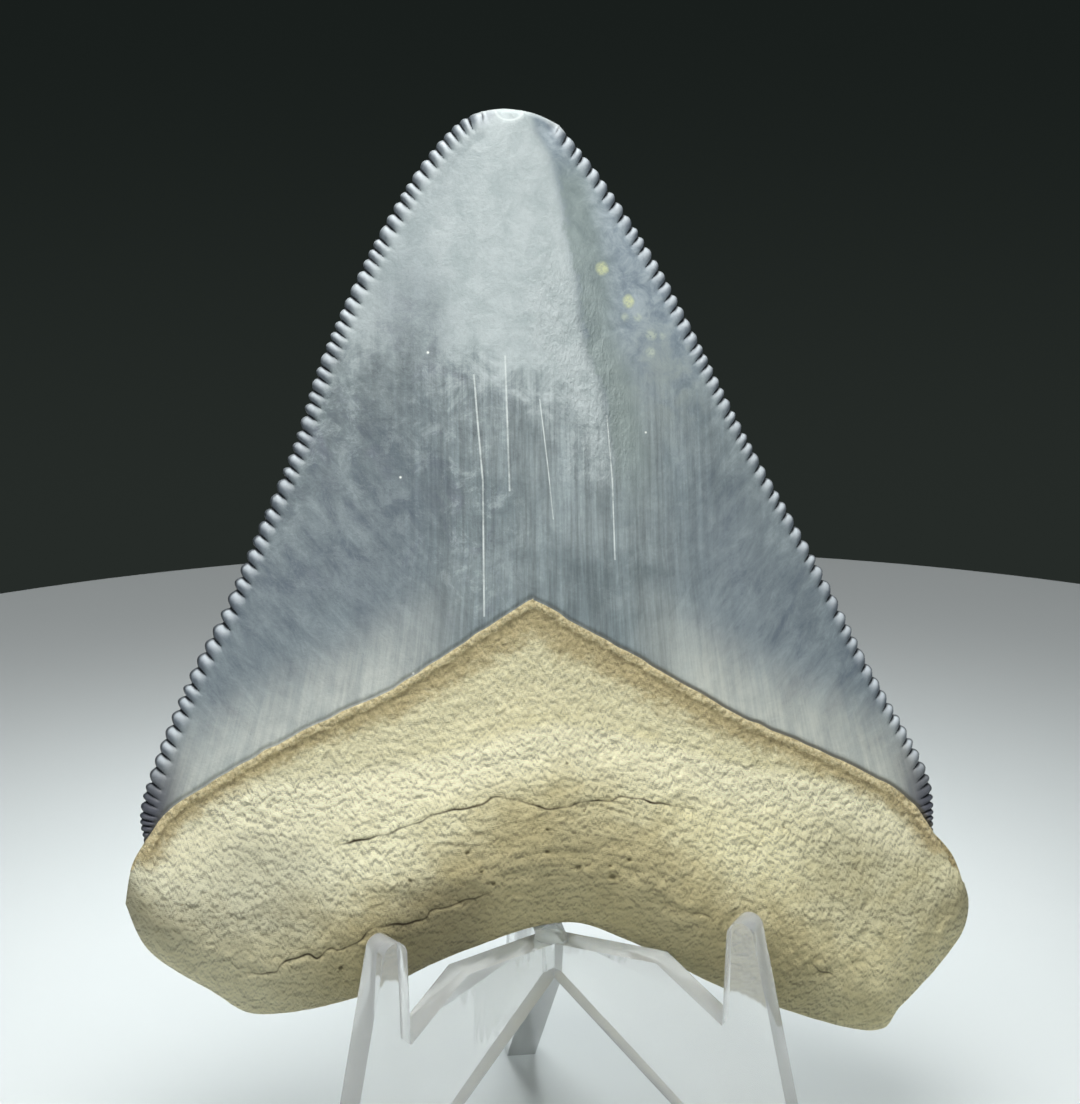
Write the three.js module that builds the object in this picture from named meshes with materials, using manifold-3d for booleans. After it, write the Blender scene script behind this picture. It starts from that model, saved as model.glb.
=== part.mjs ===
// A fossil megalodon tooth resting in a small clear plastic stand.
//
// Millimetres, +Z up, and the tooth's display face looks towards -Y. The tooth is one closed solid: a front
// sheet and a back sheet that share one outline. The stand is one moulding of three upright webs that meet
// on one line.

import * as THREE from 'three';
import Module from 'manifold-3d';
import { mergeVertices } from 'three/addons/utils/BufferGeometryUtils.js';

// Tooth outline, in the tooth's own plane: x runs across the face and z up it, from the root's lowest point.
const LEFT_CORNER = [-26.6, 12.9];
const RIGHT_CORNER = [25.4, 12.9];
const LEFT_LOBE_END = [-27.8, 9.0];
const RIGHT_LOBE_END = [27.8, 8.3];
const LEFT_SIDE_BEND = [-27.4, 11.4];
const RIGHT_SIDE_BEND = [26.8, 11.2];
const TIP_LEFT = [-4.8, 60.1];
const TIP_RIGHT = [0.3, 59.3];
const LEFT_EDGE_BENDS = [
  [-26.7, 15.8], [-24.1, 22.8], [-21.6, 27.8], [-19.2, 33.3], [-17.0, 38.5],
  [-15.1, 44.3], [-12.1, 50.9], [-9.1, 56.1], [-6.5, 59.2],
];
const RIGHT_EDGE_BENDS = [
  [25.3, 15.8], [24.3, 18.4], [21.2, 23.8], [17.6, 30.8], [13.2, 38.4], [9.4, 45.7], [6.6, 50.8], [3.0, 56.1],
];
const TIP_BENDS = [[-3.2, 60.3], [-1.3, 60.0]];
const LOWER_EDGE_BENDS = [
  [-26.3, 6.0], [-22.4, 3.4], [-19.2, 1.8], [-12.9, 2.8], [-6.2, 5.6], [0.3, 7.4],
  [4.9, 6.1], [11.4, 2.8], [20.6, -0.1], [22.9, 1.4], [26.8, 5.6],
];

// The line where the enamel ends: a chevron on the front, and a low arch on the back.
const FRONT_LINE_BENDS = [
  [-25.2, 14.9], [-23.1, 16.4], [-18.7, 19.1], [-14.2, 21.4], [-11.0, 22.9], [-5.4, 26.5], [-2.7, 28.25],
  [-2.0, 28.6], [-1.4, 28.3], [4.7, 24.9], [11.7, 21.0], [17.2, 18.6], [23.0, 15.6],
];
const BACK_LINE_BENDS = [[-18.0, 14.4], [-8.0, 16.4], [0.5, 17.2], [9.0, 16.2], [18.0, 14.0]];

// Half thicknesses, measured from the outline's plane.
const FRONT_CROWN = { base: 4.6, tip: 1.1, squareness: 2.2 };
const BACK_CROWN = { base: 3.2, tip: 0.9, squareness: 2.6 };
const FRONT_ROOT = {
  centre: 7.2, leftLobe: 5.8, rightLobe: 4.6, skew: 0.9, roundedShare: 0.34, fadeEnd: 0.8,
};
const BACK_ROOT = {
  centre: 4.8, leftLobe: 3.8, rightLobe: 3.8, skew: 0, roundedShare: 0.45, fadeEnd: 0.95,
};
const CROWN_TAPER = 0.8;
const LOBE_SQUARENESS = 6;
const TIP_ROUNDED_SHARE = 0.025;
const FORWARD_BEND = 1.2;
const BEND_FROM_HEIGHT = 15;
const TOOTH_HEIGHT = 60;

// Serrations: rounded points and sharp notches along both cutting edges of the crown.
const SERRATIONS_PER_EDGE = 62;
const NOTCH_DEPTH = 0.5;
const FINEST_SHARE = 0.6;
const FINENESS_SPREAD = 0.35;

// Mesh density of the tooth.
const COLUMNS = 26;
const ROOT_ROWS = 12;
const ROOT_ROW_CROWDING = 1.3;
const SERRATIONS_PER_ROW = 2;

// How the tooth rests: it leans back, and it lies a little turned in its own plane.
const LEAN = THREE.MathUtils.degToRad(17);
const ROLL = THREE.MathUtils.degToRad(2.3);
const TOOTH_PLACE = [0, -0.9, 9.3];

// Stand. Distances are from the line where the webs meet, and heights from the surface it stands on.
const WEB_THICKNESS = 2;
const UNDERSIDE_TOP = 14;
const UNDERSIDE_SLOPE = 1.085;
const FOOT_INNER = UNDERSIDE_TOP * UNDERSIDE_SLOPE;
const FOOT_OUTER = 18.1;
const HUB_TOP = 15.9;
const SHOULDER = [7.6, 15.7];
const NOTCH = [12.1, 12.1];
const PRONG_TOP = 19.4;
const PRONG_INNER = 12.3;
const PRONG_OUTER = 14.1;
const REAR_SHOULDER = [4.0, 15.6];
const REAR_NOTCH = [7.5, 15.5];
const REAR_PRONG_TOP = 26.5;
const REAR_PRONG_INNER = 7.9;
const REAR_PRONG_OUTER = 10.2;
const FRONT_WEB_ANGLE = THREE.MathUtils.degToRad(60);

const toothMaterial = new THREE.MeshStandardMaterial({ color: 0x9a9d92, roughness: 0.45, metalness: 0 });
const standMaterial = new THREE.MeshStandardMaterial({
  color: 0xe6eae8, roughness: 0.08, metalness: 0, transparent: true, opacity: 0.35,
});

const point = ([x, z]) => new THREE.Vector2(x, z);
const curve = (...points) => new THREE.SplineCurve(points.map(point));

const lowerEdge = curve(LEFT_LOBE_END, ...LOWER_EDGE_BENDS, RIGHT_LOBE_END);
const leftSide = curve(LEFT_LOBE_END, LEFT_SIDE_BEND, LEFT_CORNER);
const rightSide = curve(RIGHT_LOBE_END, RIGHT_SIDE_BEND, RIGHT_CORNER);
const leftCuttingEdge = curve(LEFT_CORNER, ...LEFT_EDGE_BENDS, TIP_LEFT);
const rightCuttingEdge = curve(RIGHT_CORNER, ...RIGHT_EDGE_BENDS, TIP_RIGHT);
const tipEdge = curve(TIP_LEFT, ...TIP_BENDS, TIP_RIGHT);
const frontLine = curve(LEFT_CORNER, ...FRONT_LINE_BENDS, RIGHT_CORNER);
const backLine = curve(LEFT_CORNER, ...BACK_LINE_BENDS, RIGHT_CORNER);

// A point inside four edge curves, as a Coons patch. across and along run from 0 to 1.
function insidePatch(bottom, top, left, right, across, along) {
  const mix = (a, b, share) => a.clone().lerp(b, share);
  const alongRows = mix(bottom.getPointAt(across), top.getPointAt(across), along);
  const acrossColumns = mix(left.getPointAt(along), right.getPointAt(along), across);
  const lowCorners = mix(bottom.getPointAt(0), bottom.getPointAt(1), across);
  const highCorners = mix(top.getPointAt(0), top.getPointAt(1), across);
  return alongRows.add(acrossColumns).sub(mix(lowCorners, highCorners, along));
}

// A quarter ellipse: 0 at the rim and 1 from the rounded share inwards.
function rounded(distance, share) {
  const left = 1 - Math.min(distance / share, 1);
  return Math.sqrt(1 - left * left);
}

function lens(across, squareness) {
  return 1 - Math.abs(2 * across - 1) ** squareness;
}

function crownThickness(across, along, crown) {
  const height = crown.tip + (crown.base - crown.tip) * (1 - along) ** CROWN_TAPER;
  return height * lens(across, crown.squareness) * rounded(1 - along, TIP_ROUNDED_SHARE);
}

function rootThickness(across, along, crown, root) {
  const side = 2 * across - 1;
  const lobe = side < 0 ? root.leftLobe : root.rightLobe;
  const middle = root.centre + (lobe - root.centre) * side ** 2 - root.skew * side * (1 - side ** 2);
  const swelling = middle * Math.sqrt(1 - side ** LOBE_SQUARENESS);
  const fade = THREE.MathUtils.smoothstep(along, root.roundedShare, root.fadeEnd);
  const height = THREE.MathUtils.lerp(swelling, crown.base * lens(across, crown.squareness), fade);
  return height * rounded(along, root.roundedShare);
}

// Where each row lies: level 0 is the lower edge of the root, 1 the corners of the enamel and 2 the tip.
function rootLevels() {
  return Array.from({ length: ROOT_ROWS }, (_, i) => (i / ROOT_ROWS) ** ROOT_ROW_CROWDING);
}

// Serration i of a cutting edge ends at this share of the edge; they are finer towards the corner.
function serrationEnd(i) {
  const share = i / SERRATIONS_PER_EDGE;
  return 1 + share * (FINEST_SHARE + (1 - FINEST_SHARE) * share) ** FINENESS_SPREAD;
}

function rowLevels() {
  const levels = rootLevels();
  for (let i = 0; i <= SERRATIONS_PER_EDGE; i += SERRATIONS_PER_ROW) {
    levels.push(serrationEnd(i));
  }
  levels.splice(-1, 0, 2 - TIP_ROUNDED_SHARE / 2, 2 - TIP_ROUNDED_SHARE / 8);
  return levels;
}

// The serrated edge of one side: [level, point] pairs from the lobe's end to the tip.
function serratedSide(side, cuttingEdge, inwards) {
  const rows = rootLevels().map((level) => [level, side.getPointAt(level)]);
  rows.push([1, cuttingEdge.getPointAt(0)]);
  for (let i = 0; i < SERRATIONS_PER_EDGE; i += 1) {
    const start = serrationEnd(i);
    const end = serrationEnd(i + 1);
    const middle = (start + end) / 2;
    rows.push([middle, cuttingEdge.getPointAt(middle - 1)]);
    const direction = cuttingEdge.getTangentAt(end - 1);
    const depth = i + 1 < SERRATIONS_PER_EDGE ? NOTCH_DEPTH : 0;
    const normal = new THREE.Vector2(direction.y, -direction.x).multiplyScalar(inwards * depth);
    rows.push([end, cuttingEdge.getPointAt(end - 1).add(normal)]);
  }
  return rows;
}

// Triangles between two columns of [level, vertex] pairs that start and end at the same levels.
function zip(left, right, triangles) {
  let i = 0;
  let j = 0;
  while (i < left.length - 1 || j < right.length - 1) {
    const leftNext = i < left.length - 1 ? left[i + 1][0] : Infinity;
    const rightNext = j < right.length - 1 ? right[j + 1][0] : Infinity;
    if (leftNext <= rightNext) {
      triangles.push([left[i][1], right[j][1], left[i + 1][1]]);
      i += 1;
    } else {
      triangles.push([left[i][1], right[j][1], right[j + 1][1]]);
      j += 1;
    }
  }
}

function toothGeometry() {
  const vertices = [];
  const triangles = [];
  const addVertex = (at, depth) => {
    const bend = FORWARD_BEND * (Math.max(at.y - BEND_FROM_HEIGHT, 0) / TOOTH_HEIGHT) ** 2;
    vertices.push([at.x, -depth - bend, at.y]);
    return vertices.length - 1;
  };
  const levels = rowLevels();
  const sideColumn = (rows) => rows.map(([level, at]) => [level, addVertex(at, 0)]);
  const leftColumn = sideColumn(serratedSide(leftSide, leftCuttingEdge, 1));
  const rightColumn = sideColumn(serratedSide(rightSide, rightCuttingEdge, -1));
  const shares = Array.from({ length: COLUMNS - 1 }, (_, i) => (i + 1) / COLUMNS);
  const lowerRim = shares.map((share) => addVertex(lowerEdge.getPointAt(share), 0));
  const tipRim = shares.map((share) => addVertex(tipEdge.getPointAt(share), 0));

  const sheets = [
    { facing: 1, line: frontLine, crown: FRONT_CROWN, root: FRONT_ROOT },
    { facing: -1, line: backLine, crown: BACK_CROWN, root: BACK_ROOT },
  ];
  for (const { facing, line, crown, root } of sheets) {
    const surfaceVertex = (share, level) => {
      if (level <= 1) {
        const at = insidePatch(lowerEdge, line, leftSide, rightSide, share, level);
        return addVertex(at, facing * rootThickness(share, level, crown, root));
      }
      const at = insidePatch(line, tipEdge, leftCuttingEdge, rightCuttingEdge, share, level - 1);
      return addVertex(at, facing * crownThickness(share, level - 1, crown));
    };
    const columns = shares.map((share, i) => levels.map((level) => {
      if (level === 0) {
        return [level, lowerRim[i]];
      }
      return [level, level === 2 ? tipRim[i] : surfaceVertex(share, level)];
    }));
    const all = [leftColumn, ...columns, rightColumn];
    const sheet = [];
    for (let i = 0; i < all.length - 1; i += 1) {
      zip(all[i], all[i + 1], sheet);
    }
    for (const [a, b, c] of sheet) {
      triangles.push(facing > 0 ? [a, b, c] : [a, c, b]);
    }
  }
  const geometry = new THREE.BufferGeometry();
  geometry.setAttribute('position', new THREE.Float32BufferAttribute(vertices.flat(), 3));
  geometry.setIndex(triangles.flat());
  geometry.computeVertexNormals();
  return geometry;
}

// The outline of one upright web: x is the distance from the meeting line, and y the height.
function webShape(shoulder, notch, prongInner, prongOuter, prongTop) {
  const radius = (prongOuter - prongInner) / 2;
  const shape = new THREE.Shape();
  shape.moveTo(0, UNDERSIDE_TOP);
  shape.lineTo(FOOT_INNER, 0);
  shape.lineTo(FOOT_OUTER, 0);
  shape.lineTo(prongOuter, prongTop - radius);
  shape.absarc(prongOuter - radius, prongTop - radius, radius, 0, Math.PI, false);
  shape.lineTo(notch[0], notch[1]);
  shape.lineTo(...shoulder);
  shape.lineTo(0, HUB_TOP);
  shape.closePath();
  return shape;
}

function webGeometry(shape, angle) {
  const extrusion = { depth: WEB_THICKNESS, bevelEnabled: false, curveSegments: 10 };
  const web = new THREE.ExtrudeGeometry(shape, extrusion);
  web.translate(0, 0, -WEB_THICKNESS / 2);
  web.rotateX(Math.PI / 2);
  web.rotateZ(angle);
  return web;
}

function hubGeometry() {
  const radius = WEB_THICKNESS / Math.sqrt(3);
  const hub = new THREE.CylinderGeometry(radius, radius, HUB_TOP - UNDERSIDE_TOP, 24);
  hub.rotateX(Math.PI / 2);
  hub.translate(0, 0, (HUB_TOP + UNDERSIDE_TOP) / 2);
  return hub;
}

const wasm = await Module();
wasm.setup();

function toSolid(geometry) {
  const bare = geometry.clone();
  bare.deleteAttribute('normal');
  bare.deleteAttribute('uv');
  const merged = mergeVertices(bare, 1e-4);
  return new wasm.Manifold(new wasm.Mesh({
    numProp: 3,
    vertProperties: new Float32Array(merged.attributes.position.array),
    triVerts: new Uint32Array(merged.index.array),
  }));
}

function toGeometry(solid) {
  const mesh = solid.getMesh();
  const geometry = new THREE.BufferGeometry();
  geometry.setAttribute('position', new THREE.BufferAttribute(mesh.vertProperties, 3));
  geometry.setIndex(new THREE.BufferAttribute(mesh.triVerts, 1));
  geometry.computeVertexNormals();
  return geometry;
}

function standGeometry() {
  const frontWeb = webShape(SHOULDER, NOTCH, PRONG_INNER, PRONG_OUTER, PRONG_TOP);
  const rearWeb = webShape(REAR_SHOULDER, REAR_NOTCH, REAR_PRONG_INNER, REAR_PRONG_OUTER, REAR_PRONG_TOP);
  const front = -Math.PI / 2;
  const pieces = [
    webGeometry(frontWeb, front - FRONT_WEB_ANGLE),
    webGeometry(frontWeb, front + FRONT_WEB_ANGLE),
    webGeometry(rearWeb, -front),
    hubGeometry(),
  ];
  const [first, ...rest] = pieces.map(toSolid);
  return toGeometry(rest.reduce((joined, piece) => joined.add(piece), first));
}

const tooth = new THREE.Mesh(toothGeometry(), toothMaterial);
tooth.name = 'tooth';
tooth.position.set(...TOOTH_PLACE);
tooth.rotation.set(-LEAN, ROLL, 0);

const stand = new THREE.Mesh(standGeometry(), standMaterial);
stand.name = 'stand';

// The pieces are placed so that the origin is under the middle of the object's box, at the level of its feet.
const pieces = new THREE.Group();
pieces.add(tooth, stand);
pieces.updateMatrixWorld(true);
const box = new THREE.Box3().setFromObject(pieces, true);
const middle = box.getCenter(new THREE.Vector3());
pieces.position.set(-middle.x, -middle.y, -box.min.z);

const object = new THREE.Group();
object.add(pieces);

export default object;
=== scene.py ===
"""A fossil megalodon tooth resting in a small clear plastic stand.

The tooth is one closed mesh: a front sheet and a back sheet that share one serrated outline. Its shape is
worked out in millimetres in the tooth's own plane, x across the face and z up it, and then placed in the
frame in metres. The stand is the CAD solid with its edges rounded.
"""

import math

import bpy
import numpy as np
from mathutils import Matrix, Vector
from mathutils.geometry import delaunay_2d_cdt
from mathutils.kdtree import KDTree


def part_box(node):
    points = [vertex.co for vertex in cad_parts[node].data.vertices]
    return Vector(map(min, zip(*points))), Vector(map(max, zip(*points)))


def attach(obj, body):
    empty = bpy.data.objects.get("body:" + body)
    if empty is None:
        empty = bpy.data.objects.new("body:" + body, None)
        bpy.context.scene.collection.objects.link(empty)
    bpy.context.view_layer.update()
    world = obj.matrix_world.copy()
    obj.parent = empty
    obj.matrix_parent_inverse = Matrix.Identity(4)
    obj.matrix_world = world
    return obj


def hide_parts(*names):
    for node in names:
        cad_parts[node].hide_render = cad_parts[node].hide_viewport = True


MM = 0.001

# Tooth outline, in millimetres in the tooth's own plane, as in the CAD.
LEFT_CORNER = (-26.6, 12.9)
RIGHT_CORNER = (25.4, 12.9)
LEFT_LOBE_END = (-27.8, 9.0)
RIGHT_LOBE_END = (27.8, 8.3)
TIP_LEFT = (-4.8, 60.1)
TIP_RIGHT = (0.3, 59.3)
LEFT_EDGE_BENDS = [
    (-26.7, 15.8), (-24.1, 22.8), (-21.6, 27.8), (-19.2, 33.3), (-17.0, 38.5),
    (-15.1, 44.3), (-12.1, 50.9), (-9.1, 56.1), (-6.5, 59.2),
]
RIGHT_EDGE_BENDS = [
    (25.3, 15.8), (24.3, 18.4), (21.2, 23.8), (17.6, 30.8),
    (13.2, 38.4), (9.4, 45.7), (6.6, 50.8), (3.0, 56.1),
]
TIP_BENDS = [(-3.2, 60.3), (-1.3, 60.0)]
LOWER_EDGE_BENDS = [
    (-26.3, 6.0), (-22.4, 3.4), (-19.2, 1.8), (-12.9, 2.8), (-6.2, 5.6), (0.3, 7.4),
    (4.9, 6.1), (11.4, 2.8), (20.6, -0.1), (22.9, 1.4), (26.8, 5.6),
]
FRONT_LINE_BENDS = [
    (-25.2, 14.9), (-23.1, 16.4), (-18.7, 19.1), (-14.2, 21.4), (-11.0, 22.9), (-5.4, 26.5),
    (-2.7, 28.25), (-2.0, 28.6), (-1.4, 28.3), (4.7, 24.9), (11.7, 21.0), (17.2, 18.6), (23.0, 15.6),
]
BACK_LINE_BENDS = [(-18.0, 14.4), (-8.0, 16.4), (0.5, 17.2), (9.0, 16.2), (18.0, 14.0)]

# Half thicknesses, in millimetres from the outline's plane, as in the CAD.
FRONT_CROWN = {"base": 4.6, "tip": 1.1, "squareness": 2.2}
BACK_CROWN = {"base": 3.2, "tip": 0.9, "squareness": 2.6}
FRONT_ROOT = {"centre": 7.2, "left": 5.8, "right": 4.6, "skew": 0.9, "rounded": 0.34, "fade": 0.8}
BACK_ROOT = {"centre": 4.8, "left": 3.8, "right": 3.8, "skew": 0.0, "rounded": 0.45, "fade": 0.95}
TIP_ROUNDED_SHARE = 0.025
FORWARD_BEND = 1.2
BEND_FROM_HEIGHT = 15
TOOTH_HEIGHT = 60

# How the tooth rests, as in the CAD. The place is from the line where the stand's webs meet.
LEAN = math.radians(17)
ROLL = math.radians(2.3)
TOOTH_PLACE = (0, -0.9, 9.3)
STAND_FOOT_OUTER = 18.1

# Serrations.
SERRATIONS_PER_EDGE = 62
NOTCH_DEPTH = 0.42
FINEST_SHARE = 0.36
BEAD_SLANT = 0.3
GROOVE_DEPTH = 0.42
GROOVE_END = 1.3
BEAD_PHASES = (-1, -0.9, -0.72, -0.48, -0.24, 0, 0.24, 0.48, 0.72, 0.9)
BEAD_RINGS = (0.06, 0.16, 0.28, 0.42, 0.58, 0.76, 0.96, 1.18, 1.44)
PLAIN_RINGS = (0.02, 0.07, 0.15, 0.27, 0.43)
UNSERRATED = -1.0
FAR_INSET = 9.0
OUTLINE_INSET = 0.04

# Spacing of the mesh, in millimetres. The steps are in lattice cells, for the root and for the crown.
LATTICE_CELL = 0.1
RIM_MARGIN = 0.3
LINE_SPACING = 0.14
FRONT_STEPS = (2, 4)
BACK_STEPS = (4, 8)

# The part of the plane that each half of the texture map shows, in millimetres.
MAP_CORNER = (-29, -1)
MAP_WIDTH = 58
MAP_HEIGHT = 62

# Relief of the front: cracks, pits, bumps and marks, in the tooth's plane.
MAIN_CRACK = [
    (-14.7, 13.1), (-11.9, 13.7), (-9.7, 14.5), (-8.3, 15.1), (-5.6, 15.7), (-4.8, 16.2), (-4.0, 16.1),
    (-1.7, 15.5), (-0.4, 15.5), (1.8, 15.9), (2.7, 15.8), (3.4, 16.0), (4.8, 15.8), (7.4, 15.3), (8.3, 15.1),
]
LEFT_CRACK = [
    (-20.2, 5.2), (-18.6, 5.2), (-18.2, 5.8), (-16.6, 6.4), (-15.9, 6.1), (-15.1, 6.7), (-14.5, 6.6),
    (-13.3, 7.2), (-12.5, 8.0), (-9.3, 8.4), (-8.7, 9.0), (-7.4, 9.4), (-5.0, 10.1),
]
CRACKS = [
    (MAIN_CRACK, 0.26),
    (LEFT_CRACK, 0.2),
    ([(6.1, 9.2), (7.6, 8.7), (8.9, 8.5), (9.8, 7.7)], 0.14),
    ([(15.4, 5.2), (16.0, 5.0), (16.6, 4.6), (17.3, 4.4), (17.8, 3.9)], 0.2),
    ([(13.7, 13.9), (13.1, 13.3), (12.5, 12.7), (11.9, 12.1), (11.5, 11.5)], 0.14),
    ([(9.9, 12.2), (10.8, 12.5), (11.7, 13.0)], 0.1),
    ([(-4.4, 14.7), (-4.9, 14.0)], 0.14),
    ([(-1.8, 18.1), (-0.2, 17.4)], 0.1),
    ([(15.1, 3.9), (15.8, 4.1)], 0.16),
    ([(2.7, 23.2), (3.4, 22.8)], 0.16),
    ([(-13.5, 15.1), (-13.0, 14.5)], 0.14),
    ([(-20.0, 7.1), (-19.5, 7.7)], 0.1),
]
PITS = [
    (-14.4, 5.4, 0.28), (0.7, 11.6, 0.34), (2.9, 11.0, 0.36), (3.9, 12.1, 0.26), (2.7, 11.7, 0.2),
    (-1.4, 12.7, 0.24), (-6.5, 12.7, 0.26), (-5.6, 11.5, 0.22), (-4.8, 10.7, 0.3), (-1.4, 14.1, 0.2),
    (-10.1, 11.0, 0.22), (0.0, 18.2, 0.2),
]
BUMPS = [
    (-19.0, 11.5, 0.7, 0.22), (-15.8, 11.9, 0.5, 0.18), (18.1, 9.3, 0.5, 0.2),
    (20.4, 7.1, 0.8, 0.18), (-10.9, 23.3, 0.5, 0.12), (-14.8, 21.3, 0.5, 0.12),
]
RIDGE = [
    (-2.0, 60.5), (-1.6, 58.8), (-0.6, 57.2), (0.0, 54.6), (0.5, 52.0),
    (1.0, 49.4), (1.2, 45.9), (2.4, 42.5), (3.2, 38.0), (3.6, 34.0),
]
ARCH = [
    (-24.5, 14.5), (-21.4, 16.4), (-15.6, 17.2), (-8.0, 18.9), (-1.6, 20.8),
    (2.3, 20.4), (11.6, 18.0), (19.7, 16.3), (23.0, 15.0),
]
SILVER_EDGE = [
    (-17.0, 46.5), (-13.4, 44.6), (-9.0, 45.2), (-7.7, 43.0), (-5.2, 43.0), (-2.7, 42.0),
    (-0.1, 41.4), (1.6, 39.4), (2.8, 37.2), (3.6, 38.0), (4.2, 41.0), (6.0, 47.0),
]
PALE_LINES = [
    ([(-5.6, 43.0), (-5.4, 40.1), (-5.1, 36.2), (-5.1, 27.5)], 0.045),
    ([(-3.6, 44.2), (-3.5, 40.1), (-3.4, 35.5)], 0.045),
    ([(-1.4, 41.4), (-0.9, 36.9), (-0.6, 33.7)], 0.03),
    ([(3.0, 40.4), (3.3, 36.2), (3.4, 31.1)], 0.035),
]
CHIP = (-3.1, 60.05, 0.85, 0.6)
SPOTS = [(2.9, 49.9, 0.36), (4.7, 47.8, 0.38)]
PALE_SPOTS = [(4.4, 46.8, 0.2), (5.3, 46.8, 0.26), (6.2, 45.7, 0.34), (7.0, 45.6, 0.18), (6.1, 44.5, 0.3)]
SPECKS = [(-8.5, 44.4, 0.08), (-10.3, 36.4, 0.07), (5.6, 39.3, 0.06), (-9.6, 23.9, 0.07)]


# --- curves and patches -------------------------------------------------------------------------------

class Curve:
    """A smooth curve through points. A share from 0 to 1 of its length picks a point on it."""

    def __init__(self, points, samples=60):
        points = np.array(points, float)
        padded = np.vstack([points[:1], points, points[-1:]])
        t = np.linspace(0, 1, samples, endpoint=False)[:, None]
        runs = []
        for i in range(len(points) - 1):
            before, start, end, after = padded[i:i + 4]
            leave = (end - before) / 2
            arrive = (after - start) / 2
            cubic = 2 * start - 2 * end + leave + arrive
            square = -3 * start + 3 * end - 2 * leave - arrive
            runs.append(cubic * t ** 3 + square * t ** 2 + leave * t + start)
        self.points = np.vstack([*runs, points[-1:]])
        steps = np.linalg.norm(np.diff(self.points, axis=0), axis=1)
        distance = np.concatenate([[0], np.cumsum(steps)])
        self.length = distance[-1]
        self.share = distance / self.length

    def at(self, share):
        columns = [np.interp(share, self.share, self.points[:, k]) for k in (0, 1)]
        return np.stack(columns, axis=-1)

    def direction(self, share):
        ahead = self.at(np.minimum(share + 2e-3, 1))
        behind = self.at(np.maximum(share - 2e-3, 0))
        step = ahead - behind
        return step / np.linalg.norm(step, axis=-1, keepdims=True)

    def left_normal(self, share):
        direction = self.direction(share)
        return np.stack([-direction[..., 1], direction[..., 0]], axis=-1)

    def spaced(self, step):
        """Shares of points about one step apart, both ends included."""
        return np.linspace(0, 1, max(2, int(round(self.length / step)) + 1))

    def distance(self, points):
        """Each point's distance from the curve, positive to the left of it."""
        shares = self.spaced(0.05)
        samples = self.at(shares)
        found = nearest(points, samples)
        away = points - samples[found]
        normal = self.left_normal(shares[found])
        side = np.sum(away * normal, axis=1)
        return np.copysign(np.linalg.norm(away, axis=1), side)


def nearest(points, samples):
    """For each point, the number of the sample that it is nearest to."""
    tree = KDTree(len(samples))
    for i, (x, z) in enumerate(samples):
        tree.insert((x, z, 0), i)
    tree.balance()
    return np.array([tree.find((x, z, 0))[1] for x, z in points])


class Patch:
    """The area inside four edge curves, as a Coons patch. across and along run from 0 to 1."""

    def __init__(self, bottom, top, left, right):
        self.edges = (bottom, top, left, right)

    def at(self, across, along):
        bottom, top, left, right = self.edges
        a = across[:, None]
        b = along[:, None]
        rows = bottom.at(across) * (1 - b) + top.at(across) * b
        columns = left.at(along) * (1 - a) + right.at(along) * a
        low = bottom.at(np.zeros(1)) * (1 - a) + bottom.at(np.ones(1)) * a
        high = top.at(np.zeros(1)) * (1 - a) + top.at(np.ones(1)) * a
        return rows + columns - low * (1 - b) - high * b

    def find(self, points, across, along, rounds=9):
        """The across and along of each point, from a first guess."""
        step = 1e-3
        for _ in range(rounds):
            here = self.at(across, along)
            off = points - here
            forward = np.where(across < 0.5, step, -step)
            upward = np.where(along < 0.5, step, -step)
            da = (self.at(across + forward, along) - here) / forward[:, None]
            db = (self.at(across, along + upward) - here) / upward[:, None]
            det = da[:, 0] * db[:, 1] - da[:, 1] * db[:, 0]
            det = np.where(np.abs(det) < 1e-6, 1e-6, det)
            move_a = (off[:, 0] * db[:, 1] - off[:, 1] * db[:, 0]) / det
            move_b = (da[:, 0] * off[:, 1] - da[:, 1] * off[:, 0]) / det
            across = np.clip(across + np.clip(move_a, -0.15, 0.15), 0, 1)
            along = np.clip(along + np.clip(move_b, -0.15, 0.15), 0, 1)
        return across, along


LOWER_EDGE = Curve([LEFT_LOBE_END, *LOWER_EDGE_BENDS, RIGHT_LOBE_END])
LEFT_SIDE = Curve([LEFT_LOBE_END, (-27.4, 11.4), LEFT_CORNER])
RIGHT_SIDE = Curve([RIGHT_LOBE_END, (26.8, 11.2), RIGHT_CORNER])
LEFT_EDGE = Curve([LEFT_CORNER, *LEFT_EDGE_BENDS, TIP_LEFT])
RIGHT_EDGE = Curve([RIGHT_CORNER, *RIGHT_EDGE_BENDS, TIP_RIGHT])
TIP_EDGE = Curve([TIP_LEFT, *TIP_BENDS, TIP_RIGHT])
BACK_LINE = Curve([LEFT_CORNER, *BACK_LINE_BENDS, RIGHT_CORNER])


# --- noise --------------------------------------------------------------------------------------------

def hashed(ix, iz, seed):
    """A repeatable number from 0 to 1 for each pair of whole numbers."""
    n = (ix * 374761393 + iz * 668265263 + seed * 97463477) & 0xFFFFFFFF
    n = ((n ^ (n >> 13)) * 1274126177) & 0xFFFFFFFF
    return ((n ^ (n >> 16)) & 0xFFFFFF) / 0xFFFFFF


def noise(x, z, seed):
    """Smooth noise from -1 to 1, with features about one unit across."""
    ix = np.floor(x).astype(np.int64)
    iz = np.floor(z).astype(np.int64)
    fx = smooth(x - ix)
    fz = smooth(z - iz)
    low = hashed(ix, iz, seed) * (1 - fx) + hashed(ix + 1, iz, seed) * fx
    high = hashed(ix, iz + 1, seed) * (1 - fx) + hashed(ix + 1, iz + 1, seed) * fx
    return 2 * (low * (1 - fz) + high * fz) - 1


def smooth(t):
    return t * t * (3 - 2 * t)


def step_between(value, low, high):
    """0 below low, 1 above high, and smooth between them."""
    return smooth(np.clip((value - low) / (high - low), 0, 1))


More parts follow.
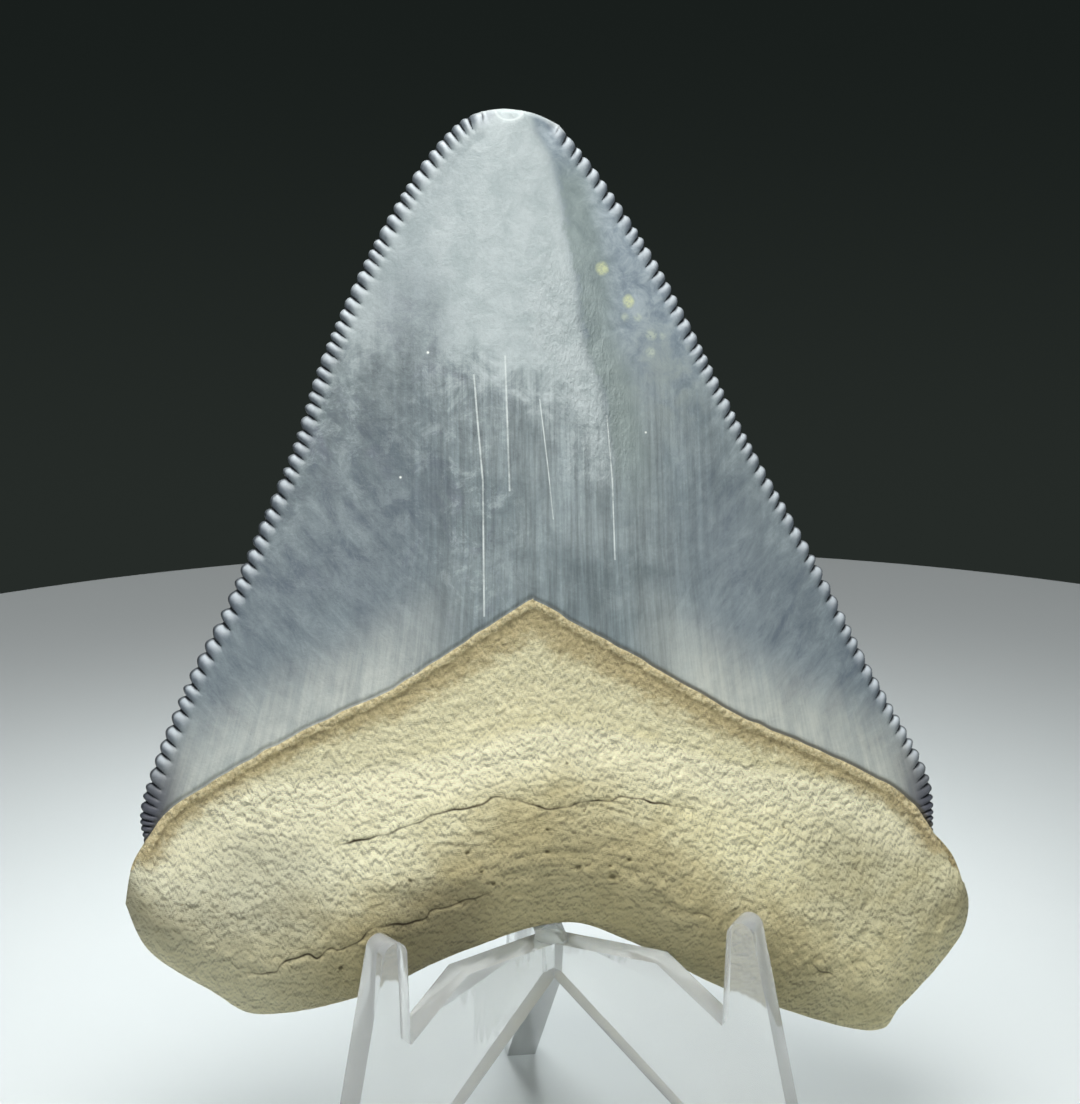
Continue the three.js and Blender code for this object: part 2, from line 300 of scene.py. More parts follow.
def wandering(points, size, length, seed):
    """A curve through points with a small uneven wander added, which fades out at both ends."""
    curve = Curve(points, 20)
    shares = curve.spaced(0.2)
    distance = shares * curve.length
    fade = np.minimum(1, 4 * np.minimum(distance, curve.length - distance))
    wander = size * fade * noise(distance / length, distance * 0 + points[0][0], seed)
    return Curve(curve.at(shares) + curve.left_normal(shares) * wander[:, None], 4)


FRONT_LINE = wandering([LEFT_CORNER, *FRONT_LINE_BENDS, RIGHT_CORNER], 0.09, 0.9, 7)


# --- serrations ---------------------------------------------------------------------------------------

class SerratedEdge:
    """One cutting edge with its serrations. Each is a rounded bead between two notches."""

    def __init__(self, curve, inwards, seed):
        random = np.random.default_rng(seed)
        share = (np.arange(SERRATIONS_PER_EDGE) + 0.5) / SERRATIONS_PER_EDGE
        widths = FINEST_SHARE + (1 - FINEST_SHARE) * step_between(share, 0, 0.2)
        widths *= 1 - 0.16 * step_between(share, 0.3, 0.6)
        widths *= random.uniform(0.8, 1.2, len(widths))
        ends = np.concatenate([[0], np.cumsum(widths) / widths.sum()])
        depths = NOTCH_DEPTH * random.uniform(0.6, 1.2, len(ends))
        depths[1:] *= 1 - 0.35 * step_between(share, 0.35, 0.7)
        depths[1:13] *= np.linspace(0.3, 1, 12)
        depths[-5:-1] *= np.linspace(0.9, 0.5, 4)
        depths[[0, -1]] = 0
        self.curve = curve
        self.inwards = inwards
        self.ends = ends
        self.depths = depths
        self.heights = random.uniform(0.6, 1.15, len(ends))
        self.heights[:12] *= np.linspace(0.45, 1, 12)

    def ring(self, inset, phases):
        """Points along the edge at one inset from its outline: (points, phase, bead height)."""
        i = np.repeat(np.arange(SERRATIONS_PER_EDGE), len(phases))
        t = np.tile(np.array(phases, float), SERRATIONS_PER_EDGE)
        mix = (t + 1) / 2
        share = self.ends[i] * (1 - mix) + self.ends[i + 1] * mix
        depth = self.depths[i] * (1 - mix) + self.depths[i + 1] * mix
        inward = inset + depth * np.abs(t) ** 1.9 * math.exp(-inset / 0.6)
        slid = np.clip(share - BEAD_SLANT * inset / self.curve.length, 0, 1)
        normal = self.curve.left_normal(slid) * -self.inwards
        return self.curve.at(slid) + normal * inward[:, None], t, self.heights[i]


def bead(t):
    """The rounded profile of a serration: 1 at its middle and 0 at its notches."""
    return np.sqrt(np.clip(1 - t * t, 0, 1))


LEFT_SERRATIONS = SerratedEdge(LEFT_EDGE, 1, 11)
RIGHT_SERRATIONS = SerratedEdge(RIGHT_EDGE, -1, 12)


# --- thickness ----------------------------------------------------------------------------------------

def rounded(distance, share):
    left = 1 - np.minimum(distance / share, 1)
    return np.sqrt(1 - left * left)


def lens(across, squareness):
    return 1 - np.abs(2 * across - 1) ** squareness


def crown_thickness(across, along, crown):
    height = crown["tip"] + (crown["base"] - crown["tip"]) * (1 - along) ** 0.8
    return height * lens(across, crown["squareness"]) * rounded(1 - along, TIP_ROUNDED_SHARE)


def root_thickness(across, along, crown, root):
    side = 2 * across - 1
    lobe = np.where(side < 0, root["left"], root["right"])
    middle = root["centre"] + (lobe - root["centre"]) * side ** 2 - root["skew"] * side * (1 - side ** 2)
    swelling = middle * np.sqrt(1 - side ** 6)
    fade = step_between(along, root["rounded"], root["fade"])
    height = swelling * (1 - fade) + crown["base"] * lens(across, crown["squareness"]) * fade
    return height * rounded(along, root["rounded"])


# --- the points of a sheet ----------------------------------------------------------------------------

def outline():
    """The tooth's outline as one loop: its points, their serration facts and the enamel's corners.

    A point's facts are its inset from the cutting edge, its phase across a bead and the bead's height.
    """
    lower = plain(LOWER_EDGE.at(LOWER_EDGE.spaced(0.22))[:-1])
    right_side = plain(RIGHT_SIDE.at(RIGHT_SIDE.spaced(0.2))[:-1])
    right = np.column_stack(RIGHT_SERRATIONS.ring(0, BEAD_PHASES))
    tip = plain(TIP_EDGE.at(TIP_EDGE.spaced(0.12))[::-1])
    left = np.column_stack(LEFT_SERRATIONS.ring(0, BEAD_PHASES))[::-1]
    left_side = plain(LEFT_SIDE.at(LEFT_SIDE.spaced(0.2))[::-1][1:-1])
    rows = np.vstack([lower, right_side, right, tip, left, left_side])
    points = rows[:, :2]
    insets = np.where(rows[:, 3] == UNSERRATED, FAR_INSET, OUTLINE_INSET)
    facts = np.column_stack([insets, np.where(insets < 1, rows[:, 2], 0), rows[:, 3] ** 2])
    right_corner = len(lower) + len(right_side)
    left_corner = right_corner + len(right) + len(tip) + len(left) - 1
    return points, facts, (left_corner, right_corner)


def plain(points):
    """Outline points that have no serrations, as rows like a serrated ring's."""
    blank = np.zeros(len(points))
    return np.column_stack([points, blank, blank + UNSERRATED])


def edge_rows(z, curve):
    """x of a side of the outline at each height z."""
    order = np.argsort(curve.points[:, 1])
    return np.interp(z, curve.points[order, 1], curve.points[order, 0])


def across_range(z):
    """The left and right ends of the outline at each height z above the lobes."""
    left = np.where(z < LEFT_CORNER[1], edge_rows(z, LEFT_SIDE), edge_rows(z, LEFT_EDGE))
    right = np.where(z < RIGHT_CORNER[1], edge_rows(z, RIGHT_SIDE), edge_rows(z, RIGHT_EDGE))
    return left, right


def height_of(curve, x):
    order = np.argsort(curve.points[:, 0])
    return np.interp(x, curve.points[order, 0], curve.points[order, 1])


def lattice(line, fine, root_step, crown_step):
    """Inner points on a square lattice, closer together where the relief is finer."""
    columns = np.arange(-280, 282)
    rows = np.arange(-4, 606)
    i, j = np.meshgrid(columns, rows)
    i = i.ravel()
    j = j.ravel()
    x = i * LATTICE_CELL
    z = j * LATTICE_CELL
    left, right = across_range(z)
    above = z - height_of(line, x)
    inside = (z > height_of(LOWER_EDGE, x) + RIM_MARGIN) & (z < 59.9)
    inside &= (x > left + RIM_MARGIN) & (x < right - RIM_MARGIN)
    step = np.where(above > 0, crown_step, root_step)
    step = np.where(z > 56.5, np.minimum(step, 2), step)
    if fine:
        beside = np.abs(x - np.interp(z, *ridge_rows()))
        step = np.where((beside < 1.2) & (z > 44), np.minimum(step, 2), step)
        step = np.where((above > -1.1) & (above < 0.9), 1, step)
    kept = inside & (i % step == 0) & (j % step == 0)
    points = np.stack([x[kept], z[kept]], axis=1)
    wobble = np.random.default_rng(5).uniform(-0.25, 0.25, points.shape)
    return points + wobble * step[kept, None] * LATTICE_CELL


def ridge_rows():
    """Heights and x of the ridge beside the right facet, in order of height."""
    rows = np.array(RIDGE)[::-1]
    return rows[:, 1], rows[:, 0]


def plain_rings():
    """Points just inside the parts of the outline that have no serrations."""
    rings = []
    sides = [(LOWER_EDGE, 1), (RIGHT_SIDE, 1), (LEFT_SIDE, -1), (TIP_EDGE, -1)]
    for curve, turn in sides:
        shares = curve.spaced(0.22)[1:-1]
        for inset in PLAIN_RINGS:
            rings.append(curve.at(shares) + curve.left_normal(shares) * inset * turn)
    return np.vstack(rings)


def crack_curve(points):
    return wandering(points, 0.09, 0.7, 3)


def crack_points():
    """Points along each crack and beside it, so that it is cut cleanly, and round each pit."""
    groups = []
    for points, width in CRACKS:
        curve = crack_curve(points)
        shares = curve.spaced(0.12)
        for offset in (-0.26, -0.11, 0, 0.11, 0.26):
            groups.append(curve.at(shares) + curve.left_normal(shares) * offset)
    angles = np.linspace(0, 2 * np.pi, 12, endpoint=False)
    circle = np.stack([np.cos(angles), np.sin(angles)], axis=1)
    for x, z, radius in PITS:
        for share in (0.35, 0.75, 1.15):
            groups.append(np.array([[x, z]]) + circle * radius * share)
        groups.append(np.array([[x, z]]))
    return np.vstack(groups)


def too_close(points, others, gap):
    """Which points lie within a gap of any of the others."""
    found = nearest(points, others)
    return np.linalg.norm(points - others[found], axis=1) < gap


def cutting_edges():
    """Points along both cutting edges, without their serrations."""
    return np.vstack([LEFT_EDGE.at(LEFT_EDGE.spaced(0.1)), RIGHT_EDGE.at(RIGHT_EDGE.spaced(0.1))])


def sheet_points(line, loop, fine, root_step, crown_step):
    """Inner points of one sheet, and their serration facts: inset, phase and bead height."""
    points = []
    facts = []

    def add(new, inset, phase, height):
        points.append(new)
        facts.append(np.stack(np.broadcast_arrays(inset, phase, height), axis=1))

    for edge in (LEFT_SERRATIONS, RIGHT_SERRATIONS):
        for inset in BEAD_RINGS:
            phases = BEAD_PHASES if inset < 0.8 else BEAD_PHASES[::2]
            ring, phase, height = edge.ring(inset, phases)
            kept = line.distance(ring) > 0.12
            add(ring[kept], inset, phase[kept], height[kept])
    bands = np.vstack(points)

    rings = plain_rings()
    add(rings, np.full(len(rings), FAR_INSET), 0.0, 1.0)
    inner = lattice(line, fine, root_step, crown_step)
    if fine:
        extra = crack_points()
        inner = inner[~too_close(inner, extra, 0.09)]
        inner = np.vstack([inner, extra])
    inner = inner[~too_close(inner, bands, 0.14)]
    near_edge = too_close(inner, cutting_edges(), GROOVE_END + 0.12) & (line.distance(inner) > 0.1)
    inner = inner[~near_edge]
    inner = inner[~too_close(inner, np.vstack([loop, rings]), 0.12)]
    on_line = line.at(line.spaced(LINE_SPACING))
    inner = inner[~too_close(inner, on_line, 0.06)]
    add(inner, np.full(len(inner), FAR_INSET), 0.0, 1.0)
    return np.vstack(points), np.vstack(facts)


def triangulate(loop, corners, on_line, inner):
    """All the points of a sheet, and triangles over the outline, the enamel line and the inner points."""
    points = np.vstack([loop, on_line, inner])
    count = len(loop)
    edges = [(i, (i + 1) % count) for i in range(count)]
    chain = [corners[0], *range(count, count + len(on_line)), corners[1]]
    edges += list(zip(chain[:-1], chain[1:]))
    found = delaunay_2d_cdt([Vector(p) for p in points], edges, [], 1, 1e-7, True)
    origin = np.array([o[0] if o else -1 for o in found[3]])
    triangles = origin[np.array(found[2])]
    return points, triangles[(triangles >= 0).all(axis=1)]


# --- relief -------------------------------------------------------------------------------------------

def first_guess(points, line):
    """A first guess of where points are in the root's patch and in the crown's."""
    x, z = points.T
    left, right = across_range(np.maximum(z, 9))
    across = np.clip((x - left) / (right - left), 0.001, 0.999)
    lower = height_of(LOWER_EDGE, x)
    border = height_of(line, x)
    low = np.clip((z - lower) / np.maximum(border - lower, 0.5), 0.001, 0.999)
    high = np.clip((z - border) / np.maximum(60 - border, 0.5), 0.001, 0.999)
    return across, low, high


def locate(points, line, above):
    """across, and a level from 0 at the root's lower edge to 1 at the enamel line and 2 at the tip."""
    root = Patch(LOWER_EDGE, line, LEFT_SIDE, RIGHT_SIDE)
    crown = Patch(line, TIP_EDGE, LEFT_EDGE, RIGHT_EDGE)
    across, low, high = first_guess(points, line)
    root_across, root_along = root.find(points, across, low)
    crown_across, crown_along = crown.find(points, across, high)
    up = above >= 0
    return np.where(up, crown_across, root_across), np.where(up, 1 + crown_along, root_along)


def crack_depth(points):
    """How deep the cracks and pits are at each point, and how much painted shade darkens them."""
    x, z = points.T
    depth = np.zeros(len(points))
    dark = np.zeros(len(points))
    for line, strength in CRACKS:
        curve = crack_curve(line)
        distance = np.abs(curve.distance(points))
        ends = np.minimum(*[np.linalg.norm(points - curve.points[k], axis=1) for k in (0, -1)])
        taper = 0.45 + 0.55 * step_between(ends, 0, 1.5)
        uneven = 0.75 + 0.35 * noise(x / 0.9, z / 0.9, 31)
        here = np.exp(-(distance / 0.1) ** 2) * taper * uneven
        depth = np.maximum(depth, here * strength)
        dark = np.maximum(dark, here * min(1, strength * 4.5))
    for px, pz, radius in PITS:
        distance = np.hypot(x - px, (z - pz) * 1.3) * (1 + 0.3 * noise(x / 0.2, z / 0.2, 32))
        here = 1 - step_between(distance, radius * 0.3, radius)
        depth = np.maximum(depth, here * radius * 0.7)
        dark = np.maximum(dark, here * 0.55)
    return depth, dark


def slanted(x, z, seed):
    """Coordinates along and across the root's folds, which fan outwards and up over its lobes."""
    angle = np.radians(90 - 42 * np.tanh(x / 9) - 14 * noise(x / 4, z / 4, seed))
    along = x * np.cos(angle) + z * np.sin(angle)
    beside = -x * np.sin(angle) + z * np.cos(angle)
    return along, beside


def wrinkles(x, z, seed):
    """Short fine folds."""
    along, beside = slanted(x, z, seed)
    return noise(beside / 0.65, along / 1.2, seed + 1)


def creases(x, z, seed):
    """Thin sharp creases, 1 at their bottoms."""
    along, beside = slanted(x, z, seed)
    return (1 - np.abs(noise(beside / 1.2, along / 1.6, seed + 1))) ** 7


def root_relief(points, above, arch, side_fade):
    """Unevenness of the root: swellings, folds, creases and the smoother band under the enamel."""
    x, z = points.T
    rough = 0.13 * noise(x / 3.1, z / 2.6, 41) + 0.09 * noise(x / 1.4, z / 1.1, 42)
    rough += 0.10 * wrinkles(x, z, 43) + 0.05 * noise(x / 0.5, z / 0.45, 45)
    rough -= 0.13 * creases(x, z, 46)
    calm = 0.3 + 0.7 * step_between(-arch, -0.4, 1.2)
    relief = rough * calm * side_fade
    recess = 0.16 * step_between(-above, 0.3, 0.8) * (1 - step_between(-above, 1.6, 3.4))
    lip = 0.12 * np.exp(-((above + 0.2) / 0.2) ** 2) * (0.8 + 0.5 * noise(x / 0.8, z / 0.8, 48))
    ledge_end = arch + 0.5 * noise(x / 1.6, z / 1.2, 47)
    ledge = 0.12 * step_between(-ledge_end, -0.5, 0.7)
    return relief - recess + lip + ledge


def front_relief(points, above, arch):
    """What is added to the front's smooth thickness, and the painted shade in its cracks and pits."""
    x, z = points.T
    crown = above >= 0
    height = 0.10 * step_between(above, 0.04, 0.4) - 0.07 * np.exp(-((above - 0.1) / 0.09) ** 2)
    beside = x - np.interp(z, *ridge_rows())
    fall = 1 - np.exp(-np.maximum(beside, 0) / 1.1)
    height -= 0.42 * fall * step_between(z, 35, 49) * (1 - step_between(z, 58.5, 60))
    height += 0.05 * noise(x / 5.0, z / 8.0, 51) + 0.025 * noise(x / 1.4, z / 3.0, 52)
    chip = np.hypot((x - CHIP[0]) / CHIP[2], (z - CHIP[1]) / CHIP[3])
    height -= 0.3 * (1 - step_between(chip, 0.8, 1.0))
    left, right = across_range(np.maximum(z, 9))
    inset = np.minimum(x - left, right - x)
    side_fade = step_between(inset, 0.2, 2.0)
    root = root_relief(points, above, arch, side_fade)
    depth, dark = crack_depth(points)
    root -= depth
    for bx, bz, radius, tall in BUMPS:
        distance = np.hypot(x - bx, (z - bz) * 1.6)
        root += tall * (1 - step_between(distance, 0.2 * radius, radius))
    return np.where(crown, height, root), np.where(crown, 0, dark)


def back_relief(points, above):
    """What is added to the back's smooth thickness."""
    x, z = points.T
    left, right = across_range(np.maximum(z, 9))
    fade = step_between(np.minimum(x - left, right - x), 0.2, 2.0)
    rough = 0.10 * noise(x / 3.1, z / 2.6, 61) + 0.05 * noise(x / 1.3, z / 1.1, 62)
    rough += 0.04 * wrinkles(x, z, 63)
    lip = 0.08 * np.exp(-((above + 0.2) / 0.25) ** 2)
    crown = 0.05 * noise(x / 5.0, z / 8.0, 64) + 0.08 * step_between(above, 0.05, 0.5)
    return np.where(above >= 0, crown, (rough + lip) * fade)


def with_serrations(smooth_height, relief, facts, level):
    """The sheet's height with its rounded serrations and the grooves between them."""
    inset, phase, tall = facts.T
    banded = inset < FAR_INSET
    rim = rounded(np.minimum(inset, 5), 0.4)
    body = np.where(banded, smooth_height * (0.5 + 0.5 * rim), smooth_height)
    edge = 0.22 * rim * (1 - step_between(inset, 0.4, 2.2))
    end = np.where(banded, 1 - step_between(inset, 0.35, GROOVE_END), 0)
    hollow = (1 - bead(phase)) * end
    swell = 0.16 * tall * bead(phase) * end
    quiet = np.clip(step_between(2 - level, 0, 0.05), 0.2, 1)
    groove = GROOVE_DEPTH * hollow * (0.5 + 0.5 * tall) * quiet
    fade = np.where(banded, step_between(inset, 0.1, 1.0), 1)
    height = body + edge + swell - groove + relief * fade
    return np.maximum(height, 0.03), hollow


# --- the tooth ----------------------------------------------------------------------------------------

def within(points, loop):
    """Which points are inside a closed outline."""
    x = points[:, :1]
    z = points[:, 1:]
    start = loop
    end = np.roll(loop, -1, axis=0)
    spans = (start[:, 1] > z) != (end[:, 1] > z)
    rise = np.where(end[:, 1] == start[:, 1], 1, end[:, 1] - start[:, 1])
    crossing = start[:, 0] + (z - start[:, 1]) * (end[:, 0] - start[:, 0]) / rise
    return (spans & (x < crossing)).sum(axis=1) % 2 == 1


def split_flat(points, facts, triangles, count):
    """Splits the triangles whose corners are all on the outline, so that the two sheets share none.

    Those of them that lie outside the outline are dropped. count is how many points the outline has.
    """
    flat = (triangles < count).all(axis=1)
    cut = triangles[flat]
    cut = cut[within(points[cut].mean(axis=1), points[:count])]
    middle = len(points) + np.arange(len(cut))
    pieces = [np.column_stack([cut[:, k], cut[:, (k + 1) % 3], middle]) for k in range(3)]
    points = np.vstack([points, points[cut].mean(axis=1)])
    facts = np.vstack([facts, facts[cut].min(axis=1)])
    return points, facts, np.vstack([triangles[~flat], *pieces])


def sheet(front, line, loop, loop_facts, corners):
    """The front or the back sheet: its points, heights, triangles and the values that its materials read."""
    steps = FRONT_STEPS if front else BACK_STEPS
    inner, facts = sheet_points(line, loop, front, *steps)
    on_line = line.at(line.spaced(LINE_SPACING))[1:-1]
    points, triangles = triangulate(loop, corners, on_line, inner)
    line_facts = np.tile([FAR_INSET, 0.0, 1.0], (len(on_line), 1))
    facts = np.vstack([loop_facts, line_facts, facts])
    points, facts, triangles = split_flat(points, facts, triangles, len(loop))
    above = line.distance(points)
    above[len(loop):len(loop) + len(on_line)] = 0
    across, level = locate(points, line, above)
    crown = FRONT_CROWN if front else BACK_CROWN
    root = FRONT_ROOT if front else BACK_ROOT
    along = np.clip(level - 1, 0, 1)
    height = np.where(
        level >= 1,
        crown_thickness(across, along, crown),
        root_thickness(across, np.clip(level, 0, 1), crown, root),
    )
    arch = Curve(ARCH).distance(points) if front else above + 3
    if front:
        relief, dark = front_relief(points, above, arch)
    else:
        relief = back_relief(points, above)
        dark = np.zeros(len(points))
    fade_in = step_between(height, 0, 0.5)
    height, hollow = with_serrations(height, relief * fade_in, facts, level)
    height[:len(loop)] = 0
    values = mask_values(points, across, level, above, arch, dark, hollow, facts, front)
    return points, height, triangles, values


def mask_values(points, across, level, above, arch, dark, hollow, facts, front):
    """The numbers that the tooth's materials read at each vertex."""
    x, z = points.T
    ridge_x = np.interp(z, *ridge_rows())
    silver = Curve(SILVER_EDGE).distance(points) if front else np.full(len(points), -9.0)
    edges = cutting_edges()
    rim = np.linalg.norm(points - edges[nearest(points, edges)], axis=1)
    return {
        "across": (across - 0.5) * 2,
        "above": np.clip(above, -20, 20),
        "arch": np.clip(arch, -20, 20),
        "crack": dark,
        "groove": hollow,
        "inset": facts[:, 0],
        "phase": np.where(facts[:, 0] < FAR_INSET, facts[:, 1], 0),
        "rim": np.minimum(rim, 12),
        "silver": np.clip(silver, -12, 12),
        "facet": np.clip(x - ridge_x, -8, 8) if front else np.full(len(points), -8.0),
        "level": level,
        "front": np.full(len(points), 1.0 if front else 0.0),
    }


def stand_hub():
    """The point on the floor under the line where the stand's webs meet."""
    low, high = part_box("stand")
    return Vector(((low.x + high.x) / 2, high.y - STAND_FOOT_OUTER * MM, low.z))


def tooth_matrix():
    """From the tooth's own plane, in millimetres, to the frame, in metres."""
    turn = Matrix.Rotation(-LEAN, 4, "X") @ Matrix.Rotation(ROLL, 4, "Y")
    return Matrix.Translation(stand_hub() + Vector(TOOTH_PLACE) * MM) @ turn @ Matrix.Scale(MM, 4)


def placed(points, depth):
    """Points of the plane with a depth towards the viewer, in the frame."""
    x, z = points.T
    bend = FORWARD_BEND * (np.maximum(z - BEND_FROM_HEIGHT, 0) / TOOTH_HEIGHT) ** 2
    local = np.stack([x, -depth - bend, z, np.ones(len(x))], axis=1)
    return (local @ np.array(tooth_matrix()).T)[:, :3]


def build_tooth():
    """One closed mesh from the front sheet and the back sheet, which share the outline's points."""
    loop, loop_facts, corners = outline()
    front = sheet(True, FRONT_LINE, loop, loop_facts, corners)
    back = sheet(False, BACK_LINE, loop, loop_facts, corners)
    count = len(loop)
    points = np.vstack([front[0], back[0][count:]])
    depth = np.concatenate([front[1], -back[1][count:]])
    back_numbers = np.concatenate([np.arange(count), np.arange(count, len(back[0])) + len(front[0]) - count])
    triangles = np.vstack([front[2], back_numbers[back[2]][:, ::-1]])
    crown = np.concatenate([
        (front[3]["level"][front[2]] >= 0.9999).all(axis=1),
        (back[3]["level"][back[2]] >= 0.9999).all(axis=1),
    ])
    crown &= (points[triangles, 1] > LEFT_CORNER[1] - 0.01).all(axis=1)
    mesh = mesh_from(placed(points, depth), triangles, "tooth_fossil")
    for name in front[3]:
        values = np.concatenate([front[3][name], back[3][name][count:]])
        store(mesh, name, "FLOAT", values)
    store(mesh, "plane", "FLOAT_VECTOR", np.column_stack([points, depth]))
    add_map(mesh, points, triangles, len(front[2]))
    tooth = linked("tooth_fossil", mesh)
    mesh.materials.append(enamel_material())
    mesh.materials.append(root_material())
    mesh.polygons.foreach_set("material_index", np.where(crown, 0, 1).astype(np.int32))
    shade_smooth(mesh)
    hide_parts("tooth")
    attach(tooth, "root")


def mesh_from(vertices, triangles, name):
    mesh = bpy.data.meshes.new(name)
    mesh.vertices.add(len(vertices))
    mesh.vertices.foreach_set("co", vertices.astype(np.float32).ravel())
    mesh.loops.add(triangles.size)
    mesh.loops.foreach_set("vertex_index", triangles.astype(np.int32).ravel())
    mesh.polygons.add(len(triangles))
    mesh.polygons.foreach_set("loop_start", np.arange(0, triangles.size, 3, dtype=np.int32))
    mesh.update()
    return mesh


def store(mesh, name, kind, values):
    attribute = mesh.attributes.new(name, kind, "POINT")
    field = "value" if kind == "FLOAT" else "vector"
    attribute.data.foreach_set(field, np.ascontiguousarray(values, dtype=np.float32).ravel())


def add_map(mesh, points, triangles, front_count):
    """A map with the front sheet on its left half and the back sheet on its right half."""
    spread = (points - MAP_CORNER) / MAP_HEIGHT
    spread[:, 0] *= 0.5 * MAP_HEIGHT / MAP_WIDTH
    uv = spread[triangles]
    uv[front_count:, :, 0] += 0.5
    layer = mesh.uv_layers.new(name="OFBake")
    layer.data.foreach_set("uv", uv.astype(np.float32).ravel())


# --- materials ----------------------------------------------------------------------------------------

def colour(red, green, blue):
    """A screen colour from 0 to 255 a channel, as the linear colour that shaders take."""
    linear = []
    for channel in (red, green, blue):
        c = channel / 255
        linear.append(c / 12.92 if c <= 0.04045 else ((c + 0.055) / 1.055) ** 2.4)
    return (*linear, 1)


# Tones of the enamel. A pair is the two ends that a noise or a place picks between.
CLOUDS = (colour(112, 124, 127), colour(138, 149, 151))
LIGHT_WISP = colour(164, 176, 178)
DARK_WISP = colour(90, 99, 111)
SMOKE = colour(103, 108, 122)
DARK_PUFF = colour(94, 103, 108)
LIGHT_PUFF = colour(166, 177, 178)
HIGH_GREY = colour(154, 166, 171)
LOW_BLUE = (colour(84, 96, 108), colour(124, 136, 142))
PALE_FOOT = (colour(203, 207, 199), colour(200, 203, 192))
# Silver enamel with a painted sheen.
SILVER_AND_SHEEN = (colour(170, 182, 183), colour(190, 200, 201))
# The facet's blue-grey, darkened with painted shade.
FACET_TONE_AND_SHADE = (colour(112, 128, 142), colour(182, 195, 201))
RIDGE_SHADOW = (colour(112, 126, 124), colour(160, 174, 170))
TAWNY = colour(134, 144, 136)
NAVY = colour(60, 62, 76)
# Painted shade on the lower half of each serration and a painted highlight on its upper half.
BEAD_SHADE_AND_HIGHLIGHT = (colour(96, 104, 114), colour(194, 202, 208))
OUTLINE = colour(52, 58, 64)
# Painted shade in the grooves between serrations.
GROOVE_SHADE = colour(40, 45, 50)
# A painted shadow line just above the enamel line.
LINE_SHADOW = colour(84, 80, 68)
CHIPPED = colour(226, 233, 231)
PALE_LINE = colour(222, 230, 228)
YELLOW_SPOT = colour(206, 214, 172)
PALE_SPOT = colour(192, 203, 186)
SPECK = colour(240, 244, 240)

# Tones of the root.
CREAM = (colour(232, 225, 180), colour(244, 239, 198))
LEFT_CREAM = colour(250, 250, 224)
# Painted shade where the folds and lumps are low.
FOLD_SHADE = colour(202, 193, 150)
HOLLOW_SHADE = colour(196, 187, 144)
# Darker tan low on the root: a stain, with painted shade where the root turns downward.
UNDERSIDE_STAIN_AND_SHADE = (colour(165, 152, 110), colour(202, 189, 142))
CALM = (colour(206, 199, 160), colour(233, 228, 192))
# A painted highlight along the crest just beneath the arch.
CREST_HIGHLIGHT = colour(252, 248, 214)
BROWN = (colour(166, 152, 110), colour(198, 182, 138))
LIP = (colour(198, 182, 138), colour(234, 222, 180))
SEAM = colour(116, 100, 68)
PORE = colour(134, 120, 88)
# Painted shade in dents.
DENT_SHADE = colour(126, 112, 78)
# Painted shade in cracks and pits.
CRACK_SHADE = colour(74, 64, 46)

# The root's painted light compares a height with the height this far above it, in millimetres.
LUMP_REACH = 0.17


class Graph:
    """Short names for the nodes of one material or world."""

    def __init__(self, owner):
        owner.use_nodes = True
        self.owner = owner
        self.nodes = owner.node_tree.nodes
        self.links = owner.node_tree.links
        self.shader = self.nodes.get("Principled BSDF")

    def put(self, socket, value):
        """Gives a socket a constant, or links it to another socket."""
        if isinstance(value, bpy.types.NodeSocket):
            self.links.new(value, socket)
        else:
            socket.default_value = value

    def constants(self, values):
        """Constants on the shader's own sockets."""
        for name, value in values.items():
            self.shader.inputs[name].default_value = value

    def node(self, kind, *values, **settings):
        """A new node with its settings, and its first inputs filled."""
        made = self.nodes.new("ShaderNode" + kind)
        for name, setting in settings.items():
            setattr(made, name, setting)
        for socket, value in zip(made.inputs, values):
            self.put(socket, value)
        return made

    def math(self, operation, *values):
        return self.node("Math", *values, operation=operation).outputs[0]

    def add(self, a, b):
        return self.math("ADD", a, b)

    def times(self, first, *others):
        product = first
        for factor in others:
            product = self.math("MULTIPLY", product, factor)
        return product

    def step(self, value, low, high, start=0.0, end=1.0):
        """start below low, end above high, and smooth between them."""
        if low > high:
            low, high, start, end = high, low, end, start
        made = self.node("MapRange", value, low, high, start, end, interpolation_type="SMOOTHSTEP")
        return made.outputs[0]

    def within(self, value, rise, fall):
        """0 to 1 over one range of the value, and back to 0 over the other."""
        return self.times(self.step(value, *rise), self.step(value, *fall))

    def ragged(self, value, noise, size):
        """A value moved up and down by a noise, over a range of one size."""
        return self.add(value, self.math("MULTIPLY_ADD", noise, size, -size / 2))

    def parts(self, vector):
        return self.node("SeparateXYZ", vector).outputs

    def joined(self, x, y, z):
        return self.node("CombineXYZ", x, y, z).outputs[0]

    def noise(self, vector, scale, detail, roughness, distortion=0.0):
        node = self.node("TexNoise", vector)
        levels = {"Scale": scale, "Detail": detail, "Roughness": roughness, "Distortion": distortion}
        for name, level in levels.items():
            node.inputs[name].default_value = level
        return node.outputs["Fac"]

    def mix(self, share, a, b):
        node = self.node("Mix", share, data_type="RGBA")
        colours = [socket for socket in node.inputs if socket.type == "RGBA"]
        self.put(colours[0], a)
        self.put(colours[1], b)
        return next(socket for socket in node.outputs if socket.type == "RGBA")

    def paint(self, base, tone, *masks):
        """A tone laid over a base, as strongly as the product of the masks."""
        return self.mix(self.times(*masks), base, tone)

    def shaded(self, base, factor):
        """A colour made lighter or darker by a factor."""
        node = self.node("VectorMath", base, operation="SCALE")
        self.put(node.inputs["Scale"], factor)
        return node.outputs[0]

    def bump(self, height, strength, distance):
        node = self.node("Bump")
        for name, value in {"Height": height, "Strength": strength, "Distance": distance}.items():
            self.put(node.inputs[name], value)
        self.links.new(node.outputs[0], self.shader.inputs["Normal"])


